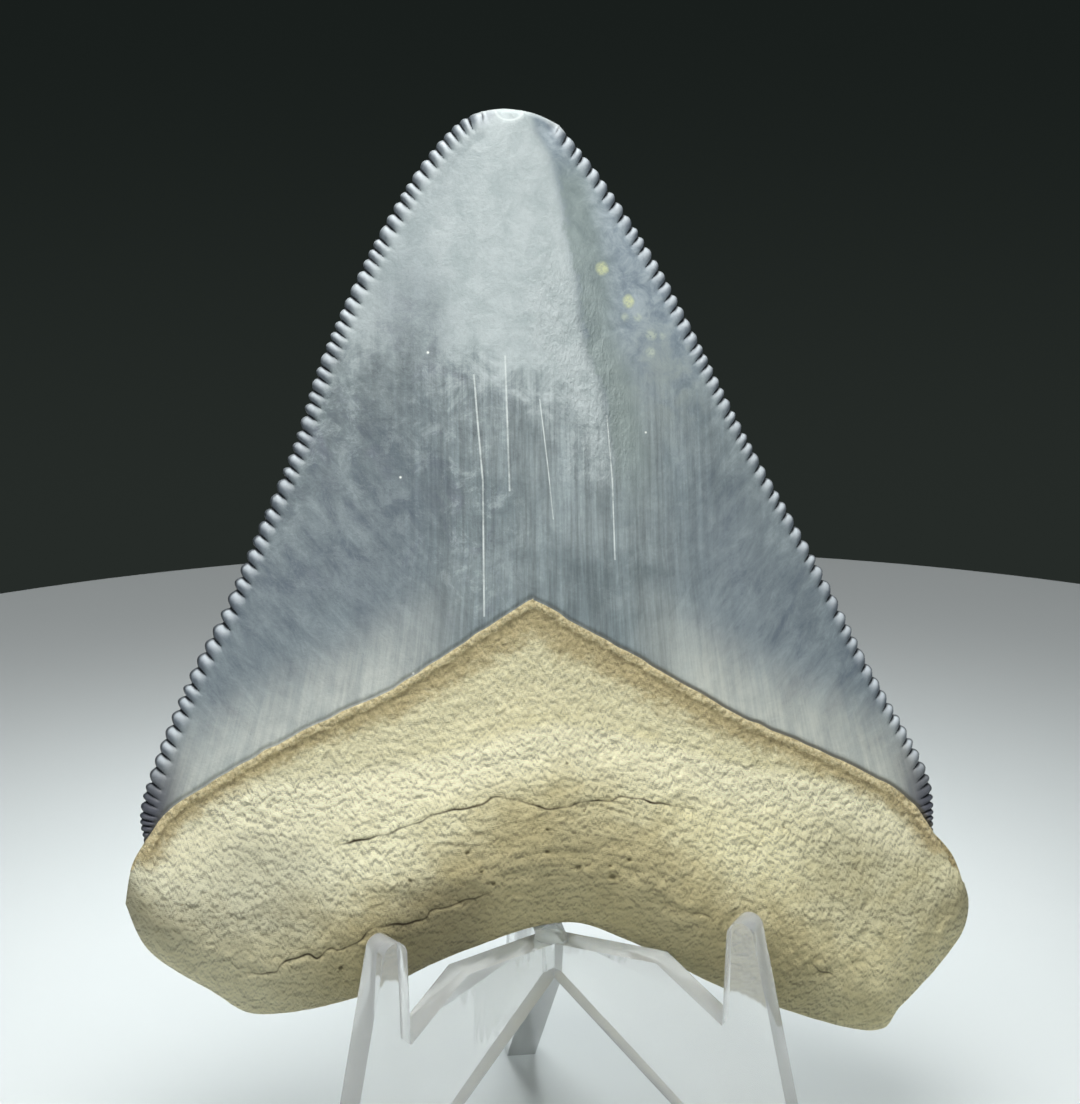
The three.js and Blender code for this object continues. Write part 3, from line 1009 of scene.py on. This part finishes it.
class ToothGraph(Graph):
    """One of the tooth's materials. Its x, z, above and rim are in millimetres. Noises run from 0 to 1."""

    def __init__(self, name):
        super().__init__(bpy.data.materials.new(name))
        self.plane = self.node("Attribute", attribute_name="plane").outputs["Vector"]
        self.x, self.z, _ = self.parts(self.plane)
        self.aside = self.math("ABSOLUTE", self.x)
        self.front = self.value("front")
        self.above = self.value("above")
        self.across = self.value("across")
        self.outwards = self.math("ABSOLUTE", self.across)

    def value(self, name):
        """One of the numbers that the mesh carries."""
        return self.node("Attribute", attribute_name=name).outputs["Fac"]

    def slanted(self, z, angle, squeeze):
        """Coordinates turned by an angle and squeezed, so that noise on them makes short slanted folds."""
        cosine = self.math("COSINE", angle)
        sine = self.math("SINE", angle)
        along = self.add(self.times(self.x, cosine), self.times(z, sine))
        beside = self.math("SUBTRACT", self.times(z, cosine), self.times(self.x, sine))
        return self.joined(beside, self.times(along, squeeze), 0.0)

    def oval(self, x, z, wide, tall):
        """Distance from an oval's centre: 1 on the oval."""
        dx = self.times(self.add(self.x, -x), 1 / wide)
        dz = self.times(self.add(self.z, -z), 1 / tall)
        return self.math("SQRT", self.add(self.times(dx, dx), self.times(dz, dz)))

    def finish(self, base, roughness, specular, height, distance, strength):
        """Joins colour, gloss and relief to the shader. roughness is a range that the mottle picks from."""
        self.put(self.shader.inputs["Base Color"], base)
        self.put(self.shader.inputs["Roughness"], self.step(self.mottle, 0.3, 0.7, *roughness))
        self.constants({"Specular IOR Level": specular})
        self.bump(height, strength, distance)
        return self.owner


class Enamel(ToothGraph):
    """Blue-grey enamel: streaked in the middle, cloudy beside it and silver with a painted sheen towards the
    tip.
    """

    def __init__(self):
        super().__init__("enamel")
        self.rim = self.value("rim")
        self.facet = self.value("facet")
        spread = self.math("MULTIPLY_ADD", self.math("MINIMUM", self.z, 32.0), 0.012, 0.75)
        upright = self.joined(self.times(self.x, spread), self.times(self.z, 0.045), self.front)
        turn = self.times(self.math("TANH", self.times(self.x, 0.3)), 0.9)
        self.fine_streaks = self.noise(upright, 2.6, 4.0, 0.7)
        self.broad_streaks = self.noise(upright, 0.7, 3.0, 0.6)
        self.wisps = self.noise(self.slanted(self.z, turn, 0.35), 0.8, 8.0, 0.76, 0.4)
        self.mottle = self.noise(self.plane, 0.6, 7.0, 0.72, 0.4)
        self.grain = self.noise(self.plane, 4.0, 4.0, 0.7)
        self.streaky = self.times(self.step(self.aside, 15.0, 7.0), self.step(self.z, 47.0, 39.0))

    def ground(self):
        """Grey clouds, with wisps beside the streaked middle, and smoke and puffs on the left."""
        clouds = self.noise(self.plane, 0.13, 5.0, 0.6, 0.5)
        base = self.mix(self.step(clouds, 0.36, 0.64), *CLOUDS)
        cloudy = self.math("SUBTRACT", 1.0, self.times(self.streaky, 0.75))
        base = self.paint(base, LIGHT_WISP, self.step(self.wisps, 0.5, 0.72), cloudy, 0.75)
        base = self.paint(base, DARK_WISP, self.step(self.wisps, 0.5, 0.3), cloudy, 0.75)
        smoke = self.step(self.noise(self.plane, 0.24, 7.0, 0.7, 1.2), 0.5, 0.66)
        leftwards = self.step(self.x, -2.0, -6.0)
        base = self.paint(base, SMOKE, smoke, leftwards, self.step(self.z, 25.0, 31.0), 0.6)
        puffs = self.noise(self.plane, 0.55, 8.0, 0.8, 0.4)
        place = self.times(self.step(self.x, -1.0, -6.0, 0.25, 0.7), self.step(self.z, 24.0, 31.0))
        base = self.paint(base, DARK_PUFF, self.step(puffs, 0.5, 0.36), place)
        return self.paint(base, LIGHT_PUFF, self.step(puffs, 0.5, 0.64), place)

    def streaks(self, base):
        """Paler grey higher up, broad streaks all over and fine ones in the middle."""
        high = self.step(self.ragged(self.z, self.mottle, 14.0), 40.0, 53.0)
        base = self.paint(base, HIGH_GREY, high, 0.8)
        base = self.shaded(base, self.step(self.broad_streaks, 0.3, 0.7, 0.9, 1.1))
        streaked = self.shaded(base, self.step(self.fine_streaks, 0.3, 0.7, 0.78, 1.26))
        base = self.paint(base, streaked, self.streaky)
        return self.shaded(base, self.step(self.grain, 0.3, 0.7, 0.95, 1.05))

    def low_sides(self, base):
        """Blue low down on both sides, and pale streaks that rise from the enamel line."""
        sides = self.times(self.step(self.above, 20.0, 8.0), self.step(self.aside, 5.0, 11.0))
        base = self.paint(base, self.mix(self.step(self.wisps, 0.3, 0.7), *LOW_BLUE), sides, 0.65)
        foot = self.times(self.step(self.above, 5.6, 0.2), self.step(self.outwards, 0.16, 0.42))
        streaks = self.add(self.fine_streaks, self.times(self.mottle, 0.8))
        tone = self.mix(self.step(self.x, -6.0, 6.0), *PALE_FOOT)
        return self.paint(base, tone, foot, self.step(streaks, 0.6, 1.25, 0.5, 1.0), 0.9)

    def silver(self, base):
        """The silver cap, its colour with a painted sheen, with its ragged lower edge, its fade to the left
        and a dark patch.
        """
        edge = self.ragged(self.ragged(self.value("silver"), self.mottle, 9.0), self.fine_streaks, 4.0)
        past_ridge = self.step(self.ragged(self.facet, self.mottle, 2.0), 0.7, -0.5)
        left_fade = self.step(self.add(self.across, self.times(self.mottle, 0.4)), -0.6, 0.0, 0.65, 1.0)
        dark_patch = self.step(self.oval(-9.3, 46.5, 2.6, 5.0), 1.3, 0.2)
        patch_fade = self.math("SUBTRACT", 1.0, self.times(dark_patch, 0.75))
        tone = self.mix(self.step(self.mottle, 0.32, 0.68), *SILVER_AND_SHEEN)
        tone = self.shaded(tone, self.step(self.grain, 0.3, 0.7, 0.96, 1.04))
        return self.paint(base, tone, self.step(edge, -2.4, 2.2), past_ridge, left_fade, patch_fade)

    def right_facet(self, base):
        """The facet right of the ridge, its blue-grey darkened with painted shade, the shadow beside the
        ridge and a tawny patch.
        """
        # The facet slopes away from the light: its blue-grey tone is darkened with painted shade.
        tone = self.mix(self.step(self.mottle, 0.3, 0.7), *FACET_TONE_AND_SHADE)
        on_facet = self.times(self.step(self.facet, -0.1, 0.6), self.step(self.z, 38.0, 48.0))
        base = self.paint(base, tone, on_facet, self.front, 0.75)
        beside = self.within(self.ragged(self.facet, self.mottle, 2.4), (0.0, 0.5), (3.4, 1.4))
        heights = self.within(self.z, (33.0, 40.0), (58.0, 55.0))
        tone = self.mix(self.mottle, *RIDGE_SHADOW)
        base = self.paint(base, tone, beside, heights, self.front, 0.75)
        patch = self.step(self.oval(7.0, 43.0, 5.0, 6.0), 1.0, 0.1)
        return self.paint(base, TAWNY, patch, self.step(self.mottle, 0.4, 0.6), 0.4)

    def edges(self, base):
        """Navy corners, serrations with a painted highlight on their upper halves and painted shade on their
        lower halves, dark outlines, painted shade in the grooves and in a line above the enamel line, and
        pale chipped rims.
        """
        corner = self.times(self.step(self.z, 20.5, 15.0), self.step(self.rim, 3.2, 0.8))
        base = self.paint(base, NAVY, corner, 0.92)
        # A painted highlight on each serration's upper half and painted shade on its lower half.
        on_beads = self.times(self.step(self.rim, 1.2, 0.3), self.step(self.z, 16.0, 19.0))
        lit_upper_half = self.step(self.ragged(self.value("phase"), self.mottle, 0.8), -0.45, 0.45)
        base = self.paint(base, self.mix(lit_upper_half, *BEAD_SHADE_AND_HIGHLIGHT), on_beads, 0.8)
        outline = self.step(self.value("inset"), 0.2, 0.05)
        base = self.paint(base, OUTLINE, outline, self.step(self.z, 46.0, 32.0, 0.3, 0.9))
        # Painted shade in the grooves between serrations.
        base = self.paint(base, GROOVE_SHADE, self.step(self.value("groove"), 0.2, 0.65))
        # A painted shadow in the small groove just above the enamel line, stronger on the right.
        border = self.times(self.step(self.above, 0.3, 0.1), self.step(self.across, -0.1, 0.4, 0.25, 0.85))
        base = self.paint(base, LINE_SHADOW, border)
        chip_rim = self.times(self.within(self.oval(*CHIP), (0.85, 0.98), (1.2, 1.05)), self.front)
        tip_rim = self.step(self.value("level"), 1.975, 1.992)
        return self.paint(base, CHIPPED, self.math("MAXIMUM", chip_rim, tip_rim), 0.45)

    def marks(self, base):
        """Thin pale lines, yellow and pale spots, and specks."""
        lines = self.times(self.upright_lines(PALE_LINES), self.front)
        base = self.paint(base, PALE_LINE, lines, self.step(self.mottle, 0.35, 0.6, 0.3, 0.85))
        yellow = self.times(self.round_spots(SPOTS, 0.16), self.front)
        base = self.paint(base, YELLOW_SPOT, yellow, self.step(self.grain, 0.3, 0.6, 0.35, 0.95))
        pale = self.times(self.round_spots(PALE_SPOTS, 0.18), self.front)
        base = self.paint(base, PALE_SPOT, pale, self.step(self.grain, 0.35, 0.6, 0.1, 0.7))
        return self.paint(base, SPECK, self.round_spots(SPECKS, 0.04), self.front)

    def round_spots(self, spots, soft):
        """1 inside each uneven round spot (x, z, radius) and 0 outside all of them."""
        mask = 0.0
        unevenness = self.math("MULTIPLY_ADD", self.mottle, 1.6, 0.2)
        for x, z, radius in spots:
            distance = self.times(self.oval(x, z, 1, 1), unevenness)
            spot = self.step(distance, radius + soft, max(radius - soft, 0.0))
            mask = self.math("MAXIMUM", mask, spot)
        return mask

    def upright_lines(self, lines):
        """1 on each thin line and 0 beside it. A line is straight runs from high to low, and a width."""
        mask = 0.0
        for points, width in lines:
            for (x0, z0), (x1, z1) in zip(points[:-1], points[1:]):
                slope = (x1 - x0) / (z1 - z0)
                run = self.math("MULTIPLY_ADD", self.add(self.z, -z0), slope, x0)
                off = self.math("ABSOLUTE", self.math("SUBTRACT", self.x, run))
                ends = self.within(self.z, (z1 - 0.02, z1 + 0.02), (z0 + 0.02, z0 - 0.02))
                mask = self.math("MAXIMUM", mask, self.times(self.step(off, width * 1.8, width * 0.5), ends))
        return mask

    def height(self):
        """Fine relief: streaks in the middle, grain all over and a rumpled stretch left of the ridge."""
        height = self.add(self.times(self.fine_streaks, self.streaky, 0.7), self.times(self.grain, 0.4))
        rumple = self.noise(self.joined(self.x, self.times(self.z, 0.5), self.front), 1.3, 5.0, 0.7)
        beside_ridge = self.within(self.facet, (-5.0, -1.5), (2.6, 0.8))
        heights = self.within(self.z, (33.0, 39.0), (54.0, 46.0))
        height = self.add(height, self.times(rumple, beside_ridge, heights, 5.0))
        return self.add(height, self.times(self.mottle, 0.9))


def enamel_material():
    enamel = Enamel()
    base = enamel.streaks(enamel.ground())
    for layer in (enamel.low_sides, enamel.silver, enamel.right_facet, enamel.edges, enamel.marks):
        base = layer(base)
    return enamel.finish(base, (0.34, 0.5), 0.45, enamel.height(), 0.00014, 0.6)


class Root(ToothGraph):
    """Cream root: grainy and cracked low down, calmer above the arch and brown under the enamel line."""

    def __init__(self):
        super().__init__("root")
        self.coarse = self.noise(self.plane, 0.3, 5.0, 0.6, 0.3)
        self.mottle = self.noise(self.plane, 1.2, 6.0, 0.7, 0.3)
        self.grain = self.noise(self.plane, 3.8, 5.0, 0.7)
        self.turn = self.math("MULTIPLY_ADD", self.math("TANH", self.times(self.x, 0.11)), -0.75, 1.57)
        self.lumps = self.lumps_at(self.z)
        self.folds = self.folds_at(self.z)
        arch = self.value("arch")
        # The crest just beneath the arch, where a highlight is painted.
        self.crest = self.times(self.within(arch, (0.3, -0.6), (-4.5, -1.5)), self.front)
        self.calm = self.times(self.step(self.ragged(arch, self.mottle, 3.2), -0.9, 1.3), self.front)
        self.under = self.underside_mask()

    def lumps_at(self, z):
        return self.noise(self.joined(self.x, z, self.front), 2.4, 5.0, 0.7, 0.3)

    def folds_at(self, z):
        return self.noise(self.slanted(z, self.turn, 0.6), 1.3, 6.0, 0.72, 1.2)

    def underside_mask(self):
        """1 near the root's lower edge, reaching higher in the middle, with a ragged border: where painted
        shade and a tan stain darken the root.
        """
        level = self.ragged(self.value("level"), self.coarse, 0.2)
        level = self.math("SUBTRACT", level, self.step(self.aside, 10.0, 4.0, 0.0, 0.09))
        return self.step(self.ragged(level, self.folds, 0.2), 0.54, 0.22)

    def with_painted_shade(self, base, darkest, *masks):
        """Painted shade: a colour made darker, by the factor darkest where all the masks are 1."""
        return self.shaded(base, self.step(self.times(*masks), 0.0, 1.0, 1.0, darkest))

    def ground(self):
        """Cream, paler on the left, with painted shade in the low places of the folds and lumps."""
        base = self.mix(self.step(self.coarse, 0.35, 0.65), *CREAM)
        base = self.paint(base, LEFT_CREAM, self.step(self.across, 0.1, -0.8, 0.0, 0.6))
        # Painted shade where the folds and lumps are low.
        base = self.paint(base, FOLD_SHADE, self.step(self.folds, 0.42, 0.26, 0.0, 0.5))
        return self.paint(base, HOLLOW_SHADE, self.step(self.lumps, 0.4, 0.26, 0.0, 0.5))

    def underside_stain_and_shade(self, base):
        """Painted shade with a tan stain in the lower part: darker towards the lower edge, above the left
        prong and on both lobes.
        """
        lobes = self.step(self.outwards, 0.4, 0.7, 1.0, 0.55)
        # The lower part is painted darker tan: partly stain, partly painted shade where the root turns
        # downward.
        tone = self.mix(self.mottle, *UNDERSIDE_STAIN_AND_SHADE)
        base = self.paint(base, tone, self.under, lobes, self.step(self.across, -0.6, 0.0, 0.95, 0.8))
        # Painted shade over the left prong.
        shade_above_prong = self.within(self.x, (-3.0, -7.0), (-14.0, -9.0))
        base = self.with_painted_shade(base, 0.68, self.step(self.z, 12.5, 9.5), shade_above_prong, self.front)
        # Painted shade on both lobes.
        lobe_shade_heights = self.within(self.z, (16.5, 12.0), (5.0, 9.5))
        return self.with_painted_shade(base, 0.68, self.step(self.aside, 11.0, 20.0), lobe_shade_heights, self.front)

    def calm_zone(self, base):
        """The smoother zone above the arch, and a painted highlight on the crest along it."""
        tone = self.mix(self.step(self.grain, 0.3, 0.7), *CALM)
        base = self.paint(base, tone, self.calm, 0.85)
        return self.paint(base, CREST_HIGHLIGHT, self.crest, 0.7)

    def brown_band(self, base):
        """The brown band under the enamel line, narrower at the sides, with the seam and lip at its top."""
        width = self.step(self.outwards, 0.0, 0.7, 2.6, 1.6)
        depth = self.math("DIVIDE", self.times(self.above, -1.0), width)
        band = self.step(self.ragged(depth, self.mottle, 1.3), 1.15, 0.5)
        base = self.paint(base, self.mix(self.step(self.grain, 0.3, 0.7), *BROWN), band, 0.88)
        edge = self.ragged(self.above, self.mottle, 0.7)
        seam = self.within(edge, (-0.85, -0.6), (-0.36, -0.52))
        base = self.paint(base, SEAM, seam, self.step(self.lumps, 0.45, 0.65, 0.05, 0.6))
        lip = self.times(self.step(edge, -0.56, -0.4), self.step(self.above, 0.03, -0.03))
        tone = self.mix(self.step(self.grain, 0.35, 0.65), *LIP)
        return self.paint(base, tone, lip, self.step(self.lumps, 0.3, 0.5, 0.3, 1.0))

    def catching_light(self, here, height_at):
        """Above 0 where a height falls away upwards, as a lump's upper side does, and below 0 under it."""
        return self.math("SUBTRACT", here, height_at(self.add(self.z, LUMP_REACH)))

    def lit_grain(self, base):
        """Light on the upper sides of lumps and folds, and shade under them."""
        lit_folds = self.catching_light(self.folds, self.folds_at)
        lit_lumps = self.catching_light(self.lumps, self.lumps_at)
        lit = self.math("MULTIPLY_ADD", lit_folds, 0.6, lit_lumps)
        strength = self.times(
            self.step(self.coarse, 0.3, 0.65, 0.5, 1.0),
            self.step(self.under, 0.0, 1.0, 1.0, 0.75),
            self.step(self.calm, 0.0, 1.0, 1.0, 0.6),
        )
        return self.shaded(base, self.step(self.times(lit, strength), -0.15, 0.06, 0.58, 1.14))

    def small_marks(self, base):
        """Pores, with painted shade in dents and cracks."""
        cells = self.node("TexVoronoi", self.plane)
        cells.inputs["Scale"].default_value = 0.9
        pores = self.step(cells.outputs["Distance"], 0.13, 0.04)
        base = self.paint(base, PORE, pores, self.step(self.mottle, 0.5, 0.62), 0.6)
        # Painted shade in dents, where the lumps are low.
        dents = self.times(self.step(self.lumps, 0.36, 0.28), self.step(self.mottle, 0.45, 0.6))
        base = self.paint(base, DENT_SHADE, dents, self.step(self.calm, 0.0, 1.0, 0.7, 0.25))
        # Painted shade in cracks and pits.
        return self.paint(base, CRACK_SHADE, self.step(self.value("crack"), 0.15, 0.85))

    def height(self):
        """Fine relief of folds, grain and lumps, softer above the arch."""
        grains = self.add(self.times(self.grain, 0.3), self.times(self.lumps, 1.3))
        return self.times(self.add(self.folds, grains), self.step(self.calm, 0.0, 1.0, 1.0, 0.7))


def root_material():
    root = Root()
    base = root.ground()
    for layer in (root.underside_stain_and_shade, root.calm_zone, root.brown_band, root.lit_grain, root.small_marks):
        base = layer(base)
    return root.finish(base, (0.7, 0.86), 0.3, root.height(), 0.00036, 1.0)


def plastic_material():
    """Clear plastic with faint upright waves, and a slight grey-green tint in its depth."""
    g = Graph(bpy.data.materials.new("clear_plastic"))
    g.constants({
        "Base Color": (0.97, 0.985, 0.975, 1),
        "Transmission Weight": 0.76,
        "IOR": 1.49,
        "Roughness": 0.1,
    })
    x, y, z = g.parts(g.node("TexCoord").outputs["Object"])
    waves = g.noise(g.joined(x, y, g.times(z, 0.1)), 700.0, 2.0, 0.5)
    g.bump(waves, 0.3, 0.0002)
    absorption = g.node("VolumeAbsorption", (0.75, 0.8, 0.74, 1), 14.0)
    g.links.new(absorption.outputs[0], g.nodes["Material Output"].inputs["Volume"])
    return g.owner


def floor_material():
    g = Graph(bpy.data.materials.new("pale_board"))
    tone = g.noise(g.node("TexCoord").outputs["Object"], 30.0, 3.0, 0.5)
    g.put(g.shader.inputs["Base Color"], g.mix(tone, colour(187, 193, 194), colour(194, 199, 200)))
    g.constants({"Roughness": 0.55, "Specular IOR Level": 0.3})
    return g.owner


# --- the stand ----------------------------------------------------------------------------------------

ROUNDING = 0.45 * MM
WELD_GAP = 0.001 * MM
FLAT_WITHIN = math.radians(2)
ROUNDED_FROM = math.radians(35)
SHARP_FROM = math.radians(40)


def build_stand(node):
    """The CAD stand with flat faces joined and every edge rounded."""
    mesh = node.data.copy()
    mesh.name = "stand_clear"
    mesh.materials.clear()
    mesh.materials.append(plastic_material())
    stand = linked("stand_clear", mesh)
    weld = stand.modifiers.new("weld", "WELD")
    weld.merge_threshold = WELD_GAP
    join = stand.modifiers.new("join", "DECIMATE")
    join.decimate_type = "DISSOLVE"
    join.angle_limit = FLAT_WITHIN
    bevel = stand.modifiers.new("round", "BEVEL")
    bevel.width = ROUNDING
    bevel.segments = 3
    bevel.limit_method = "ANGLE"
    bevel.angle_limit = ROUNDED_FROM
    bevel.use_clamp_overlap = True
    evaluated = stand.evaluated_get(bpy.context.evaluated_depsgraph_get())
    made = bpy.data.meshes.new_from_object(evaluated)
    stand.modifiers.clear()
    stand.data = made
    shade_smooth(made)
    made.set_sharp_from_angle(angle=SHARP_FROM)
    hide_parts("stand")
    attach(stand, "root")


# --- floor, light and camera --------------------------------------------------------------------------

# Sizes and places here are in metres, and places are from the floor under the stand's hub.
FLOOR_CENTRE = (0.004, 0.0107)
FLOOR_RADIUS = 0.1207
FLOOR_RIM = 0.0015
FLOOR_THICKNESS = 0.008
FLOOR_SEGMENTS = 256

# Each light: name, place, direction, size, power in watts, spread in degrees and tint.
WARM = (1, 0.99, 0.97)
COOL = (0.97, 1, 1)
FAINTLY_COOL = (0.97, 0.99, 1)
LIGHTS = [
    ("key", (-0.02, -0.08, 0.3), (0.02, 0.07, -0.28), (0.22, 0.1), 0.34, 110, WARM),
    ("wash", (0, -0.14, 0.17), (0, 0, -1), (0.26, 0.06), 0.12, 95, COOL),
    ("behind", (0, 0.07, 0.12), (0, -0.04, -0.12), (0.08, 0.04), 0.033, 68, COOL),
    ("fill", (-0.24, -0.2, 0.06), (0.24, 0.18, -0.06), (0.2, 0.08), 0.114, 140, FAINTLY_COOL),
    ("fill", (0.24, -0.2, 0.06), (-0.24, 0.18, -0.06), (0.2, 0.08), 0.088, 140, FAINTLY_COOL),
]

CAMERA_PLACE = (-0.03006, -0.20830, 0.11056)
CAMERA_AZIMUTH = math.radians(-8)
CAMERA_ELEVATION = math.radians(18)
FOCAL_LENGTH = 115


def build_floor(hub):
    """A pale round board with a softly rounded rim."""
    profile = [(0, 0)]
    for angle in np.linspace(0, np.pi / 2, 7):
        drop = FLOOR_RIM * (1 - math.cos(angle))
        profile.append((FLOOR_RADIUS - FLOOR_RIM * (1 - math.sin(angle)), -drop))
    profile += [(FLOOR_RADIUS, -FLOOR_THICKNESS), (0, -FLOOR_THICKNESS)]
    vertices = []
    faces = []
    for r, z in profile:
        for k in range(FLOOR_SEGMENTS):
            angle = 2 * math.pi * k / FLOOR_SEGMENTS
            vertices.append((r * math.cos(angle), r * math.sin(angle), z))
    for row in range(len(profile) - 1):
        for k in range(FLOOR_SEGMENTS):
            a = row * FLOOR_SEGMENTS + k
            b = row * FLOOR_SEGMENTS + (k + 1) % FLOOR_SEGMENTS
            faces.append((a, a + FLOOR_SEGMENTS, b + FLOOR_SEGMENTS, b))
    mesh = bpy.data.meshes.new("floor")
    mesh.from_pydata(vertices, [], faces)
    shade_smooth(mesh)
    mesh.set_sharp_from_angle(angle=SHARP_FROM)
    mesh.materials.append(floor_material())
    floor = linked("floor", mesh)
    floor.location = (hub.x + FLOOR_CENTRE[0], hub.y + FLOOR_CENTRE[1], 0)


def build_lights(hub):
    for name, place, direction, size, power, spread, tint in LIGHTS:
        light = bpy.data.lights.new(name, "AREA")
        light.shape = "RECTANGLE"
        light.size, light.size_y = size
        light.energy = power
        light.spread = math.radians(spread)
        light.color = tint
        aimed(linked(name, light), hub + Vector(place), Vector(direction))


def build_world():
    """A studio that is pale overhead and in front of the object, and dark behind it."""
    world = bpy.data.worlds.new("studio")
    g = Graph(world)
    _, y, z = g.parts(g.node("TexCoord").outputs["Generated"])
    shade = g.mix(g.step(z, -0.31, -0.15), colour(38, 43, 40), colour(25, 30, 28))
    shade = g.mix(g.step(z, 0.0, 0.8), shade, colour(84, 88, 90))
    ahead = g.times(g.step(y, -0.15, -0.8), g.step(z, -0.4, 0.1))
    shade = g.mix(ahead, shade, colour(106, 110, 112))
    g.put(g.nodes["Background"].inputs["Color"], shade)
    bpy.context.scene.world = world


def build_camera(hub):
    camera = bpy.data.cameras.new("camera")
    camera.sensor_width = 36
    camera.lens = FOCAL_LENGTH
    camera.clip_start = 0.01
    camera.clip_end = 10
    ahead = Vector((
        -math.sin(CAMERA_AZIMUTH) * math.cos(CAMERA_ELEVATION),
        math.cos(CAMERA_AZIMUTH) * math.cos(CAMERA_ELEVATION),
        -math.sin(CAMERA_ELEVATION),
    ))
    item = linked("camera", camera)
    aimed(item, hub + Vector(CAMERA_PLACE), ahead)
    bpy.context.scene.camera = item


def linked(name, data):
    """A new object in the scene."""
    item = bpy.data.objects.new(name, data)
    bpy.context.scene.collection.objects.link(item)
    return item


def aimed(item, place, direction):
    """Puts a light or the camera in its place, looking along a direction."""
    item.location = place
    item.rotation_mode = "QUATERNION"
    item.rotation_quaternion = direction.to_track_quat("-Z", "Y")


def shade_smooth(mesh):
    mesh.polygons.foreach_set("use_smooth", np.ones(len(mesh.polygons), bool))


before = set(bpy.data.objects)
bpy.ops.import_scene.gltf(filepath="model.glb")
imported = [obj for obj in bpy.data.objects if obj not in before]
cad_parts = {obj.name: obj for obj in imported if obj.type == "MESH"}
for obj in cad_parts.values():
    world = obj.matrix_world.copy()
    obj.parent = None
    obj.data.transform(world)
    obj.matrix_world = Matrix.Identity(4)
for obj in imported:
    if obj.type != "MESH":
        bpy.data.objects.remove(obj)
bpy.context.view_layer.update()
hub = stand_hub()
bpy.context.scene.view_settings.view_transform = "Standard"
build_camera(hub)
build_tooth()
build_stand(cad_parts["stand"])
build_floor(hub)
build_lights(hub)
build_world()
